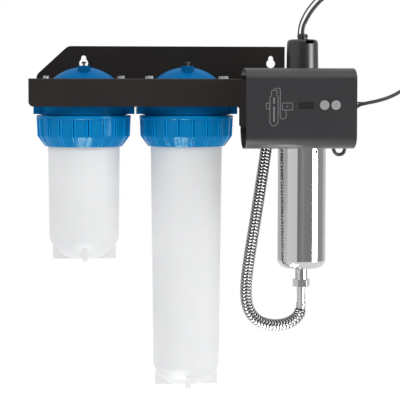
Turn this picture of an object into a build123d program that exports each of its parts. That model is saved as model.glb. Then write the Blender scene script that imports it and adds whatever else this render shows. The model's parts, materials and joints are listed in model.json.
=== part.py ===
from build123d import *
from math import cos, pi, radians, sin, sqrt, tan
import os

# Wall-mounted ultraviolet water purifier: two filter housings under a bent steel bracket, and a
# stainless ultraviolet chamber with its controller at the right. Millimetres, +Z up, the wall is
# the plane Y = 0 and the front faces -Y. The origin is midway between the two keyhole circles.
# The bay at the right, with the hose, the chamber and the controller, is modelled in its own frame:
# its X values count from the right housing's axis, so that it moves when the housings spread.

# Overall layout
keyhole_spacing = 406.4
axis_depth = 115.0
left_housing_x = -205.5
housing_spacing = 215.0
chamber_x = 246.0
sheet = 3.0
overrun = 1.0
running = 0.08
seat_gap = 0.1
slip = 0.3
route_arc_share = 0.45

# Bracket
plate_top_z = 37.0
plate_left_x = -305.0
plate_right_x = 224.5
plate_chamfer_x = 68.0
plate_chamfer_z = 62.0
plate_corner = 18.0
shelf_top_z = -33.5
shelf_left_x = -319.0
shelf_right_x = 178.5
bend_radius = 5.0
lip_gap = 6.0
lip_height = 57.0
lip_corner = 10.0
carrier_left_x = 100.5
carrier_right_x = 310.5
carrier_height = 100.0
carrier_corner = 5.0
keyhole_radius = 9.5
keyhole_slot_width = 10.5
keyhole_slot_top_z = 16.7
dome_clearance = 1.0

# Bowl and thread: what seats on the bowl follows from its radius
bowl_radius = 75.0
neck_step = 3.6
neck_clearance = 0.4
skirt_wall = 9.0
bowl_neck_radius = bowl_radius + neck_step
skirt_inner_radius = bowl_neck_radius + neck_clearance
skirt_radius = skirt_inner_radius + skirt_wall

# Housing caps
cap_drop = 71.5
cap_flare = 3.0
cap_taper = 4.0
cap_rim_step = 1.6
cap_rim_height = 4.6
cap_wall = 5.0
dome_inset = 23.0
dome_rise = 24.3
skirt_length = 35.6
cavity_side_drop = 22.0
cavity_crown_drop = 5.4
port_stand = 13.5
port_root_inset = 29.0
port_width = 60.0
port_top_drop = 13.5
port_bottom_lift = 1.0
port_edge = 3.0
port_thread_radius = 16.0
port_thread_depth = 22.0
port_bore_radius = 13.0
port_pipe_radius = 17.0
nipple_outer_radius = 21.0
nipple_tip_drop = 81.5
bolt_inset_x = 13.0
bolt_offset_y = 45.0
bolt_boss_radius = 9.0
bolt_boss_height = 30.0
bolt_radius = 3.0
bolt_thread_length = 16.0
bolt_head_flats = 10.0
bolt_head_height = 4.0
washer_radius = 6.25
washer_thickness = 1.6
washer_hole_radius = 3.3

# Vent on each cap
vent_inset = 28.0
vent_boss_flats = 23.0
vent_boss_top_z = -7.0
vent_boss_height = 19.0
vent_stem_radius = 2.5
vent_head_radius = 4.9
vent_head_height = 4.0
vent_head_round = 1.0
vent_gap = 4.5
vent_disc_radius = 5.5
vent_disc_height = 3.0
vent_spring_radius = 4.0
vent_spring_wall = 0.9
vent_counterbore_depth = 6.0

# Collars
collar_drop = 1.5
collar_height = 64.5
collar_wall = 10.6
collar_taper = 1.8
collar_band_height = 10.0
collar_panel_depth = 3.0
collar_side_height = 43.5
collar_foot_wall = 6.0
collar_edge = 1.2
collar_step = 1.0
rib_count = 20
rib_width = 6.0
rib_phase = 4.5
rib_foot_share = 0.84
rib_root = 2.0

# Bowls
flange_inset = 0.5
flange_height = 12.0
seal_space = 2.4
neck_height = 14.0
bowl_draft_share = 0.0122
bowl_wall = 4.5
bowl_collar_gap = 1.5
left_bowl_length = 212.0
right_bowl_length = 481.0
bowl_base_height = 40.5
base_round = 26.0
base_slope_inset = 14.0
base_slope_height = 19.0
base_floor_inset = 39.0
base_floor_lift = 3.0
base_slope_wall_share = 0.7
base_floor_wall_share = 0.3
fin_inset = 9.0
fin_width = 8.6
fin_top_share = 0.62
fin_hub_radius = 22.0
seal_radius = 2.1
seal_ring_step = 4.0
seal_groove_depth = 2.3
seal_groove_width = 5.4
seat_post_radius = 24.0
seat_post_wall = 4.0

# Filter cartridges
cartridge_clearance = 13.5
cartridge_bore_radius = 15.5
cartridge_cap_thickness = 6.0
cartridge_cap_overlap = 1.0
cartridge_gasket_gap = 0.3
left_cartridge_length = 247.0
right_cartridge_length = 507.0
core_wall = 2.0

# Piping
pipe_radius = 15.92
pipe_bore_radius = 12.5
link_insert = 18.0
elbow_x = 173.5
elbow_radius = 18.0
elbow_leg = 30.0
elbow_drop = 15.0
elbow_stub = 12.0
elbow_stub_radius = 13.0
nut_height = 16.0
nut_flats = 31.5
nut_bore_radius = 13.1
ferrule_radius = 9.0
ferrule_bore_radius = 7.5
ferrule_head_radius = 12.6
ferrule_head_height = 2.5
gasket_thickness = 1.6
nut_lip = 3.0

# Corrugated hose, its route hangs in the plane of the housing axes, in the bay's frame
hose_radius = 12.8
hose_root_radius = 10.2
hose_bore_radius = 7.6
hose_pitch = 6.8
hose_crest_share = 0.34
hose_flank_share = 0.2
hose_points = [
    (elbow_x, -124.0),
    (elbow_x, -152.0),
    (166.0, -208.0),
    (149.5, -318.0),
    (135.0, -408.0),
    (126.9, -470.0),
    (129.0, -516.0),
    (147.5, -545.5),
    (180.0, -558.0),
    (212.0, -556.0),
    (236.0, -543.5),
    (chamber_x, -526.0),
    (chamber_x, -508.8),
]

# Ultraviolet chamber
chamber_radius = 50.8
chamber_wall = 1.6
chamber_top_z = -42.0
chamber_seam_z = -360.0
chamber_bottom_z = -434.0
chamber_corner = 17.0
chamber_bead = 0.5
chamber_bead_height = 2.0
head_thickness = 4.0
head_ring_radius = 31.3
head_ring_wall = 3.0
head_ring_height = 10.0
neck_radius = 17.0
neck_bore_radius = 13.0
neck_length = 18.0
drain_radius = 12.9
drain_bore_radius = 9.5
drain_length = 33.0
outlet_z = -89.0
outlet_radius = 13.2
outlet_bore_radius = 9.5
outlet_length = 42.0
outlet_collar_radius = 15.6
outlet_collar_length = 6.0
sleeve_radius = 11.5
sleeve_wall = 1.5
sleeve_length = 385.0
sleeve_above = 8.0
sleeve_ring_radius = 2.0
gland_flats = 40.0
gland_height = 25.2
gland_wall_top = 3.0
seat_cup_height = 12.0
seat_cup_wall = 1.5
seat_leg_count = 4
lamp_radius = 7.5
lamp_length = 360.0
lamp_base_radius = 9.0
lamp_base_height = 20.0
connector_radius = 15.0
connector_height = 28.0
connector_overlap = 10.0

# Lamp boot and its strain relief
boot_top_z = 49.7
boot_bottom_radius = 34.4
boot_top_radius = 32.6
boot_wall = 3.0
boot_round = 8.5
boot_notch_left = 2.0
boot_notch_width = 17.5
boot_notch_depth = 10.0
boot_notch_height = 9.0
relief_radius = 7.0
relief_flange_radius = 10.0
relief_flange_height = 3.0
relief_collar_radius = 10.6
relief_collar_height = 3.2
relief_cone_radius = 9.0
relief_tip_radius = 6.2
relief_height = 12.2
claw_count = 6
claw_width = 3.2
claw_reach = 11.2
claw_drop = 6.0
claw_top_gap = 1.5
wire_offset = 8.8

# Cables, in the bay's frame: the lamp cable arches from the boot round to the gland, the ground
# wire runs with it. Their ends follow the chamber's axis and the bracket's lip.
cap_body_radius = skirt_radius + cap_flare
lip_front_depth = axis_depth + cap_body_radius + lip_gap + sheet
lip_y = -lip_front_depth
carrier_back_y = lip_y + sheet
cable_radius = 3.75
cable_bore_clearance = 0.1
gland_x = 301.0
gland_inset = 32.0
gland_tip_z = -165.0
gland_y = carrier_back_y + gland_inset
cable_points = [
    (chamber_x, -axis_depth, boot_top_z + relief_height),
    (chamber_x, -axis_depth, 73.0),
    (252.5, -116.0, 89.0),
    (265.5, -117.5, 111.5),
    (287.5, -120.0, 136.0),
    (319.5, -124.0, 157.0),
    (359.5, -130.0, 168.0),
    (402.5, -138.0, 166.0),
    (447.5, -150.0, 148.0),
    (481.5, -162.0, 113.0),
    (497.5, -172.0, 67.0),
    (495.5, -182.0, 19.0),
    (478.5, -190.0, -23.0),
    (452.5, -196.0, -51.0),
    (421.5, -199.0, -69.5),
    (390.5, -200.0, -79.0),
    (366.5, -198.0, -83.5),
    (351.5, -195.0, -87.5),
    (341.5, -191.0, -96.5),
    (332.5, -186.0, -114.5),
    (327.5, -182.0, -138.0),
    (326.0, gland_y, -163.0),
    (326.0, gland_y, -190.6),
    (gland_x, gland_y, -190.6),
    (gland_x, gland_y, gland_tip_z),
]
wire_radius = 1.7
wire_start_z = 58.0
lug_rise = 5.5
lug_lift = 2.4
wire_points = [
    (chamber_x - wire_offset, -axis_depth, wire_start_z),
    (chamber_x - wire_offset, -axis_depth, 72.0),
    (242.5, -115.0, 90.0),
    (254.5, -115.5, 113.0),
    (276.5, -116.5, 139.0),
    (309.5, -118.5, 162.0),
    (351.5, -122.0, 174.5),
    (400.5, -130.0, 171.0),
    (447.5, -142.5, 148.0),
    (481.5, -154.5, 113.0),
    (497.5, -164.5, 67.0),
    (495.5, -174.5, 19.0),
    (478.5, -182.5, -23.0),
    (452.5, -188.5, -51.0),
    (421.5, -191.5, -69.5),
    (390.5, -192.5, -79.0),
    (366.5, -190.5, -82.5),
    (347.5, -189.5, -82.5),
    (328.5, -193.5, -80.0),
    (313.5, -200.0, -74.0),
    (302.5, carrier_back_y + lug_rise, -65.5),
    (296.7, carrier_back_y + lug_lift, -58.6),
]
gland_block_width = 18.0
gland_block_depth = 42.0
gland_block_height = 24.0
gland_block_bottom_z = -131.0
gland_nose_radius = 7.5
gland_tip_radius = 5.2
lug_ring_radius = 5.0
lug_hole_radius = 2.1
lug_thickness = 1.2
lug_barrel_length = 8.0
lug_x = 290.5
lug_z = -50.0
ground_screw_radius = 2.0
ground_screw_head_radius = 4.0
ground_screw_head_height = 2.6
ground_screw_length = 6.0

# Saddles, bands and screws that hold the chamber on the carrier plate
saddle_width = 50.0
saddle_height = 20.0
saddle_z = (-66.0, -112.0)
band_thickness = 1.2
band_height = 12.0
band_clearance = 0.3
band_house_width = 16.0
band_house_depth = 8.0
band_screw_radius = 3.0
band_screw_length = 24.0
mount_screw_radius = 2.5
mount_screw_head_radius = 4.6
mount_screw_head_height = 3.0
mount_screw_length = 22.0
mount_screw_offset = 15.0

# Controller chassis and boards
chassis_left_x = 115.5
chassis_right_x = 280.5
chassis_top_z = -26.0
chassis_bottom_z = -162.0
chassis_depth = 41.0
chassis_sheet = 2.0
pillar_radius = 4.0
pillar_inset = 15.0
pillar_length = 45.0
pillar_screw_radius = 1.5
pillar_screw_head_radius = 2.8
pillar_screw_head_height = 2.0
pillar_screw_length = 8.0
chassis_lug_width = 16.0
chassis_lug_depth = 10.0
chassis_lug_inset = 20.0
board_thickness = 1.6
board_left_x = 122.5
board_right_x = 295.5
board_top_z = -36.0
board_bottom_z = -152.0
ballast_width = 84.0
ballast_height = 74.0
ballast_depth = 30.0
ballast_left_x = 138.5
ballast_top_z = -58.0
capacitor_radius = 8.0
capacitor_length = 20.0
capacitor_x = 165.5
capacitor_pitch = 20.0
capacitor_count = 3
capacitor_round = 1.0
capacitor_z = -62.0
coil_size = 24.0
coil_x = 146.5
coil_z = -118.0
buzzer_radius = 9.0
buzzer_height = 9.0
buzzer_x = 252.5
buzzer_z = -124.0
header_width = 30.0
header_height = 8.0
header_depth = 10.0
header_x = 195.5
header_z = -142.0

# Controller cover
cover_left_x = 105.0
cover_right_x = 329.0
cover_top_z = -12.0
cover_bottom_z = -175.0
cover_front_stand = 85.0
cover_back_inset = 20.0
cover_wall = 2.0
front_round_depth = 45.0
front_round_height = 25.0
back_round_depth = 50.0
back_round_height = 50.0
cover_opening_top_z = -31.5
cover_opening_bottom_z = -133.0
cover_screw_radius = 2.0
cover_screw_head_radius = 3.9
cover_screw_head_height = 1.8
cover_screw_length = 9.0

# Display and buttons
window_left_x = 210.3
window_right_x = 242.7
window_top_z = -80.6
window_bottom_z = -93.6
window_clearance = 0.15
window_recess = 0.2
window_flange = 2.0
window_flange_thickness = 1.6
display_margin = 3.0
display_gap = 1.0
button_x = 262.7
button_pitch = 23.1
button_z = -86.2
button_radius = 9.5
button_clearance = 0.25
button_proud = 1.5
button_flange_radius = 11.0
button_flange_thickness = 1.5
button_stem_radius = 3.0
button_travel = 1.0
button_edge = 0.5
button_spare_travel = 0.2
switch_size = 6.2
switch_height = 4.0
switch_plunger_radius = 1.8
switch_plunger_height = 2.0

# Power inlet in the chassis side
inlet_width = 24.0
inlet_height = 28.0
inlet_length = 22.0
inlet_wall = 2.5
inlet_floor = 6.0
inlet_flange = 3.0
inlet_flange_thickness = 2.0
inlet_stand = 21.0
inlet_z = -67.0
pin_length = 12.0
pin_width = 2.0
pin_height = 4.0
pin_spread = 7.0
pin_rise = 3.0

# Places that follow from the values above
axis_y = -axis_depth
right_housing_x = left_housing_x + housing_spacing
shelf_bottom_z = shelf_top_z - sheet
cap_top_radius = cap_body_radius - cap_taper
cap_rim_radius = cap_body_radius + cap_rim_step
dome_radius = cap_top_radius - dome_inset
vent_forward = dome_radius - vent_inset
port_reach = cap_body_radius + port_stand
port_root = cap_body_radius - port_root_inset
bolt_offset_x = cap_body_radius - bolt_inset_x
collar_top_radius = skirt_radius + collar_wall
collar_foot_radius = collar_top_radius - collar_taper
collar_bottom_radius = bowl_radius + collar_foot_wall
flange_radius = skirt_radius - flange_inset
seal_ring_radius = skirt_inner_radius + seal_ring_step
base_slope_radius = bowl_radius - base_slope_inset
base_floor_radius = bowl_radius - base_floor_inset
fin_reach = bowl_radius - fin_inset
cartridge_radius = bowl_radius - bowl_wall - cartridge_clearance
cover_front_depth = lip_front_depth + cover_front_stand
cover_back_depth = lip_front_depth - cover_back_inset
inlet_y = lip_y - inlet_stand
dome_top_z = shelf_top_z + dome_rise
cap_bottom_z = shelf_bottom_z - cap_drop
skirt_bottom_z = cap_bottom_z - skirt_length
nipple_tip_z = shelf_bottom_z - nipple_tip_drop
port_top_z = shelf_bottom_z - port_top_drop
port_bottom_z = cap_bottom_z + port_bottom_lift
port_z = (port_top_z + port_bottom_z) / 2
collar_top_z = cap_bottom_z - collar_drop
collar_bottom_z = collar_top_z - collar_height
flange_top_z = skirt_bottom_z - seal_space
flange_bottom_z = flange_top_z - flange_height
cartridge_top_z = nipple_tip_z - cartridge_gasket_gap
hose_top_z = hose_points[0][1]
hose_bottom_z = hose_points[-1][1]
drain_bottom_z = chamber_bottom_z - drain_length
board_y = lip_y - chassis_sheet - pillar_length
button_xs = (button_x, button_x + button_pitch)

os.makedirs("parts", exist_ok=True)


def save(name, shape):
    """Writes one named piece."""
    export_step(shape, f"parts/{name}.step")


def save_bay(name, shape):
    """Writes one named piece of the bay, moved from the bay's frame to its place."""
    save(name, group([Pos(right_housing_x, 0, 0) * solid for solid in shape.solids()]))


def block(low, high):
    """A box from its lowest to its highest corner."""
    size = [b - a for a, b in zip(low, high)]
    return Pos(*low) * Box(*size, align=(Align.MIN, Align.MIN, Align.MIN))


def rod(radius, start, end):
    """A round bar from one point to another."""
    way = Vector(*end) - Vector(*start)
    bar = Cylinder(radius, way.length, align=(Align.CENTER, Align.CENTER, Align.MIN))
    return Plane(origin=start, z_dir=way) * bar


def pipe(outer, inner, start, end):
    """A round pipe from one point to another."""
    return rod(outer, start, end) - rod(inner, start, end)


def taper(first, last, start, end):
    """A cone's slice from one point to another."""
    way = Vector(*end) - Vector(*start)
    body = Cone(first, last, way.length, align=(Align.CENTER, Align.CENTER, Align.MIN))
    return Plane(origin=start, z_dir=way) * body


def hexagon(flats, start, end):
    """A hexagonal bar of that width across its flats."""
    way = Vector(*end) - Vector(*start)
    face = RegularPolygon(flats / 2, 6, major_radius=False)
    return Plane(origin=start, z_dir=way) * extrude(face, way.length)


def upright(radius, x, y, low, high):
    """A vertical round bar."""
    return rod(radius, (x, y, low), (x, y, high))


def turned(points):
    """A closed outline of radius and height points, turned about the vertical axis."""
    return revolve(Plane.XZ * make_face(Polyline(*points, close=True)), Axis.Z)


def group(shapes):
    """Separate solids that share one piece's file."""
    return Compound(children=[solid for shape in shapes for solid in shape.solids()])


def housings(shape):
    """A housing piece, modelled about Z, placed on the left and on the right axis."""
    return [Pos(x, axis_y, 0) * shape for x in (left_housing_x, right_housing_x)]


def corner_radii(points):
    """The largest arcs that each pair of neighbouring runs has room for."""
    at = [Vector(*p) for p in points]
    radii = []
    for before, here, after in zip(at, at[1:], at[2:]):
        turn = (here - before).get_angle(after - here)
        shorter = min((here - before).length, (after - here).length)
        radii.append(route_arc_share * shorter / tan(radians(turn / 2)))
    return radii


def route(name, points):
    """A path of straight runs joined by tangent arcs; it prints the arcs' radii."""
    radii = corner_radii(points)
    print(name, "radii", [round(r, 1) for r in radii])
    return FilletPolyline(*points, radius=radii)


def cord(name, points, radius):
    """A round cord along its route."""
    path = route(name, points)
    start = Plane(origin=path @ 0, z_dir=path % 0)
    tube = sweep(start * Circle(radius), path=path)
    print(name, "volume share", round(tube.volume / (pi * radius**2 * path.length), 4))
    return tube


# Bracket


def back_plate():
    """The plate against the wall, with its cut corner."""
    low = plate_top_z - plate_chamfer_z
    right = right_housing_x + plate_right_x
    outline = Polyline(
        (plate_left_x, shelf_bottom_z),
        (plate_left_x, low),
        (plate_left_x + plate_chamfer_x, plate_top_z),
        (right, plate_top_z),
        (right, shelf_bottom_z),
        close=True,
    )
    face = make_face(outline)
    upper = face.vertices().filter_by(lambda v: v.Y > shelf_bottom_z + sheet)
    face = fillet(upper.filter_by(lambda v: v.X < right - sheet), plate_corner)
    return extrude(Plane.XZ * face, sheet)


def keyhole(x):
    """A keyhole's round hole and the slot above it, as a cutter."""
    start = (x, overrun, 0)
    hole = rod(keyhole_radius, start, (x, -sheet - overrun, 0))
    half = keyhole_slot_width / 2
    top = keyhole_slot_top_z - half
    end = rod(half, (x, overrun, top), (x, -sheet - overrun, top))
    return hole + end + block((x - half, -sheet - overrun, 0), (x + half, overrun, top))


def shelf_section():
    """The shelf and the front lip as one bent strip, seen from the left."""
    inner = bend_radius - sheet
    outline = Polyline(
        (0, shelf_top_z),
        (lip_y, shelf_top_z),
        (lip_y, shelf_top_z - lip_height),
        (carrier_back_y, shelf_top_z - lip_height),
        (carrier_back_y, shelf_bottom_z),
        (0, shelf_bottom_z),
        close=True,
    )
    face = make_face(outline)
    outside = face.vertices().sort_by(Axis.Y)[-2:].sort_by(Axis.X)[0]
    face = fillet(outside, bend_radius)
    inside = face.vertices().filter_by(lambda v: abs(v.X - carrier_back_y) < inner)
    return fillet(inside.sort_by(Axis.Y)[-1], inner)


def shelf():
    """The shelf with its lip, from the left end to where the chamber's bay starts."""
    strip = Plane.YZ * shelf_section()
    width = right_housing_x + shelf_right_x - shelf_left_x
    strip = Pos(shelf_left_x, 0, 0) * extrude(strip, width)
    lip_low = shelf_top_z - lip_height
    front, back = lip_y - overrun, carrier_back_y + overrun
    x, z = shelf_left_x + lip_corner, lip_low + lip_corner
    corner = block((shelf_left_x - overrun, front, lip_low - overrun), (x, back, z))
    return strip - (corner - rod(lip_corner, (x, front, z), (x, back, z)))


def carrier_plate():
    """The lip's right part, in the bay's frame: it carries the controller and the chamber."""
    left, right = carrier_left_x, carrier_right_x
    low = shelf_top_z - carrier_height
    face = make_face(
        Polyline(
            (left, shelf_bottom_z),
            (left, low + carrier_corner),
            (left + carrier_corner, low),
            (right - carrier_corner, low),
            (right, low + carrier_corner),
            (right, shelf_bottom_z),
            close=True,
        )
    )
    body = Pos(0, carrier_back_y, 0) * extrude(Plane.XZ * face, sheet)
    lip_low = shelf_top_z - lip_height
    x, z = left - carrier_corner, lip_low - carrier_corner
    fill = block((x, lip_y, z), (left, carrier_back_y, lip_low))
    bite = rod(carrier_corner, (x, lip_y - overrun, z), (x, carrier_back_y + overrun, z))
    return body + (fill - bite)


def bay_holes():
    """The holes for the mount screws and the ground screw, in the bay's frame, as a cutter."""
    front, back = lip_y - overrun, carrier_back_y + overrun
    cutter = rod(ground_screw_radius, (lug_x, front, lug_z), (lug_x, back, lug_z))
    for x, z in mount_screw_places():
        cutter += rod(mount_screw_radius + running, (x, front, z), (x, back, z))
    return cutter


def mount_screw_places():
    """Where screws go through the chassis and the carrier plate, as X and Z."""
    near = [(chamber_x + s * mount_screw_offset, z) for z in saddle_z for s in (-1, 1)]
    return near + [(chassis_left_x + pillar_inset, z) for z in saddle_z]


def bolt_places(x):
    """The four bolts round one housing axis, as X and Y."""
    return [(x + s * bolt_offset_x, axis_y + t * bolt_offset_y) for s in (-1, 1) for t in (-1, 1)]


def bracket():
    """The bent sheet that everything hangs on."""
    body = back_plate() + shelf() + Pos(right_housing_x, 0, 0) * carrier_plate()
    for x in (-keyhole_spacing / 2, keyhole_spacing / 2):
        body -= keyhole(x)
    low, high = shelf_bottom_z - overrun, shelf_top_z + overrun
    for x in (left_housing_x, right_housing_x):
        body -= upright(dome_radius + dome_clearance, x, axis_y, low, high)
        for bx, by in bolt_places(x):
            body -= upright(washer_hole_radius, bx, by, low, high)
    return body - Pos(right_housing_x, 0, 0) * bay_holes()


# Caps


def cap_bolt(x, y):
    """A hexagon bolt through its washer and the shelf into the cap."""
    seat = shelf_top_z + washer_thickness
    head = hexagon(bolt_head_flats, (x, y, seat), (x, y, seat + bolt_head_height))
    return head + upright(bolt_radius, x, y, shelf_bottom_z - bolt_thread_length, seat)


def cap_washer(x, y):
    """The washer under a bolt head."""
    high = shelf_top_z + washer_thickness
    return pipe(washer_radius, washer_hole_radius, (x, y, shelf_top_z), (x, y, high))


def dome(radius, low, rise):
    """A low spherical crown on a circle of that radius."""
    ball = (radius**2 + rise**2) / (2 * rise)
    crown = Pos(0, 0, low + rise - ball) * Sphere(ball)
    return crown & upright(radius, 0, 0, low, low + rise + overrun)


def cap_shell():
    """The cap's outside and the threaded skirt, before it is hollowed."""
    body = turned(
        [
            (0, shelf_bottom_z),
            (cap_top_radius, shelf_bottom_z),
            (cap_body_radius, cap_bottom_z + cap_rim_height),
            (cap_rim_radius, cap_bottom_z + cap_rim_height),
            (cap_rim_radius, cap_bottom_z),
            (skirt_radius, cap_bottom_z),
            (skirt_radius, skirt_bottom_z),
            (0, skirt_bottom_z),
        ]
    )
    body += upright(dome_radius, 0, 0, shelf_bottom_z, shelf_top_z)
    return body + dome(dome_radius, shelf_top_z, dome_rise)


def cap_cavity():
    """The water space inside the cap."""
    side_z = shelf_bottom_z - cavity_side_drop
    rise = dome_top_z - cavity_crown_drop - side_z
    well = upright(skirt_inner_radius, 0, 0, skirt_bottom_z - overrun, side_z)
    return well + dome(skirt_inner_radius, side_z, rise)


def port_block(side):
    """A square port block on one side."""
    low, high = sorted((side * port_root, side * port_reach))
    body = block((low, -port_width / 2, port_bottom_z), (high, port_width / 2, port_top_z))
    return fillet(body.edges().filter_by(Axis.X), port_edge)


def vent_boss():
    """The hexagonal boss that carries the vent button."""
    low = vent_boss_top_z - vent_boss_height
    return hexagon(vent_boss_flats, (0, -vent_forward, low), (0, -vent_forward, vent_boss_top_z))


def cap():
    """A housing cap about its own axis: inlet on the left, outlet pipe to the centre on the right."""
    body = cap_shell() + port_block(-1) + port_block(1)
    for x, y in bolt_places(0):
        low = shelf_bottom_z - bolt_boss_height
        body += upright(bolt_boss_radius, x, y - axis_y, low, shelf_bottom_z)
    body -= cap_cavity()
    body += upright(nipple_outer_radius, 0, 0, nipple_tip_z, port_z + port_pipe_radius)
    body += rod(port_pipe_radius, (0, 0, port_z), (skirt_inner_radius + cap_wall, 0, port_z))
    body += vent_boss()
    body -= upright(port_bore_radius, 0, 0, nipple_tip_z - overrun, port_z)
    body -= rod(port_bore_radius, (0, 0, port_z), (port_reach, 0, port_z))
    body -= rod(port_bore_radius, (-port_reach, 0, port_z), (-port_root, 0, port_z))
    for side in (-1, 1):
        inner = (side * (port_reach - port_thread_depth), 0, port_z)
        body -= rod(port_thread_radius, inner, (side * (port_reach + overrun), 0, port_z))
    for x, y in bolt_places(0):
        low = shelf_bottom_z - bolt_thread_length - overrun
        body -= upright(bolt_radius + running, x, y - axis_y, low, shelf_bottom_z + overrun)
    low = vent_boss_top_z - vent_boss_height - overrun
    body -= upright(vent_stem_radius + running, 0, -vent_forward, low, vent_boss_top_z + overrun)
    well_low = vent_boss_top_z - vent_counterbore_depth
    body -= upright(vent_spring_radius + slip, 0, -vent_forward, well_low, vent_boss_top_z + overrun)
    return body


def vent_button():
    """The button, its stem and the valve disc under the boss."""
    y = -vent_forward
    head_low = vent_boss_top_z + vent_gap
    boss_low = vent_boss_top_z - vent_boss_height
    disc_top = boss_low - seat_gap
    head = upright(vent_head_radius, 0, y, head_low, head_low + vent_head_height)
    head = fillet(head.edges().sort_by(Axis.Z)[-1], vent_head_round)
    stem = upright(vent_stem_radius, 0, y, disc_top - vent_disc_height, head_low)
    return head + stem + upright(vent_disc_radius, 0, y, disc_top - vent_disc_height, disc_top)


def vent_spring():
    """The spring in the boss, hidden in its well, as a plain sleeve."""
    low = (0, -vent_forward, vent_boss_top_z - vent_counterbore_depth)
    high = (0, -vent_forward, vent_boss_top_z + slip)
    return pipe(vent_spring_radius, vent_spring_radius - vent_spring_wall, low, high)


# Collars and bowls


def collar_rib():
    """One upright rib: flush with the top band, then down the chamfer."""
    band_low = collar_top_z - collar_band_height + collar_step
    side_low = collar_top_z - collar_side_height
    panel = collar_top_radius - collar_panel_depth
    drop = side_low - collar_bottom_z
    foot_r = collar_foot_radius - (collar_foot_radius - collar_bottom_radius) * rib_foot_share
    foot_z = side_low - drop * rib_foot_share
    face = make_face(
        Polyline(
            (panel - rib_root, band_low),
            (collar_top_radius, band_low),
            (collar_foot_radius, side_low),
            (foot_r, foot_z),
            (foot_r - rib_root, foot_z),
            (panel - 2 * rib_root, side_low),
            close=True,
        )
    )
    return Pos(0, rib_width / 2, 0) * extrude(Plane.XZ * face, rib_width)


def collar():
    """The ring nut: a plain band, recessed panels between ribs, and a chamfered foot."""
    inner = skirt_radius + running
    band_low = collar_top_z - collar_band_height
    side_low = collar_top_z - collar_side_height
    top_panel = collar_top_radius - collar_panel_depth
    foot_panel = collar_foot_radius - collar_panel_depth
    shoulder_z = flange_bottom_z - seat_gap
    body = turned(
        [
            (inner, collar_top_z),
            (collar_top_radius - collar_edge, collar_top_z),
            (collar_top_radius, collar_top_z - collar_edge),
            (collar_top_radius, band_low + collar_step),
            (top_panel, band_low),
            (foot_panel, side_low),
            (collar_bottom_radius, collar_bottom_z),
            (bowl_radius + bowl_collar_gap, collar_bottom_z),
            (bowl_radius + bowl_collar_gap, shoulder_z),
            (inner, shoulder_z),
        ]
    )
    rib = collar_rib()
    step = 360 / rib_count
    for i in range(rib_count):
        body += Rot(0, 0, rib_phase - 90 + i * step) * rib
    return body


def bowl_side(length):
    """The bowl's outer radius at its shoulder."""
    return bowl_radius - length * bowl_draft_share


def bowl_outline(length, inset):
    """The bowl's outline from its flange down, or its inside when inset by the wall."""
    shoulder_z = flange_bottom_z - length
    bottom_z = shoulder_z - bowl_base_height + base_floor_lift
    side = bowl_side(length)
    aside, above = inset * base_slope_wall_share, inset * base_floor_wall_share
    return [
        (0, flange_bottom_z),
        (bowl_radius - inset, flange_bottom_z),
        (side - inset, shoulder_z),
        (base_slope_radius - aside, shoulder_z - base_slope_height + above),
        (base_floor_radius - above, bottom_z + inset),
        (0, bottom_z + inset),
    ]


def bowl_body(length, inset):
    """The bowl's turned body with a rounded shoulder and base."""
    body = turned(bowl_outline(length, inset))
    shoulder_z = flange_bottom_z - length
    rings = body.edges().filter_by(GeomType.CIRCLE).sort_by(Axis.Z)
    low = [e for e in rings if e.center().Z < shoulder_z + overrun]
    return fillet(low, base_round - inset)


def bowl_fins(length):
    """Four fins on a short hub under the base, at the front, the back and both sides."""
    shoulder_z = flange_bottom_z - length
    low = shoulder_z - bowl_base_height
    high = low + bowl_base_height * fin_top_share
    along = block((-fin_reach, -fin_width / 2, low), (fin_reach, fin_width / 2, high))
    across = Rot(0, 0, 90) * along
    return along + across + upright(fin_hub_radius, 0, 0, low + base_floor_lift / 2, high)


def bowl(length, cartridge_length):
    """A bowl with its flange, neck, fins, seal groove and the post that carries the cartridge."""
    body = bowl_body(length, 0) + bowl_fins(length)
    body += upright(flange_radius, 0, 0, flange_bottom_z, flange_top_z)
    body += upright(bowl_neck_radius, 0, 0, flange_top_z, flange_top_z + neck_height)
    body -= bowl_body(length, bowl_wall)
    mouth_z = flange_top_z + neck_height + overrun
    body -= upright(bowl_radius - bowl_wall, 0, 0, flange_bottom_z, mouth_z)
    groove_low = (0, 0, flange_top_z - seal_groove_depth)
    groove_high = (0, 0, flange_top_z + overrun)
    half = seal_groove_width / 2
    body -= pipe(seal_ring_radius + half, seal_ring_radius - half, groove_low, groove_high)
    floor_z = flange_bottom_z - length - bowl_base_height + base_floor_lift
    post_top = cartridge_top_z - cartridge_length - cartridge_gasket_gap
    post = seat_post_radius
    return body + pipe(post, post - seat_post_wall, (0, 0, floor_z + overrun), (0, 0, post_top))


def bowl_seal():
    """The ring between the bowl's flange and the cap's skirt."""
    z = flange_top_z - seal_groove_depth + seal_radius + seat_gap
    return Pos(0, 0, z) * Torus(seal_ring_radius, seal_radius)


def filter_media(length):
    """The cartridge's filtering tube, between its end caps."""
    low = (0, 0, cartridge_top_z - length + cartridge_cap_thickness)
    high = (0, 0, cartridge_top_z - cartridge_cap_thickness)
    return pipe(cartridge_radius, cartridge_bore_radius + core_wall, low, high)


def filter_ends(length):
    """Both end caps on the perforated core that joins them."""
    low, high = cartridge_top_z - length, cartridge_top_z
    radius = cartridge_radius + cartridge_cap_overlap
    bore = cartridge_bore_radius
    body = pipe(bore + core_wall, bore, (0, 0, low), (0, 0, high))
    body += pipe(radius, bore, (0, 0, low), (0, 0, low + cartridge_cap_thickness))
    return body + pipe(radius, bore, (0, 0, high - cartridge_cap_thickness), (0, 0, high))


# Piping


def link_nipple():
    """The pipe between the two caps' ports."""
    start = left_housing_x + port_reach - link_insert
    end = right_housing_x - port_reach + link_insert
    return pipe(pipe_radius, pipe_bore_radius, (start, axis_y, port_z), (end, axis_y, port_z))


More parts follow.
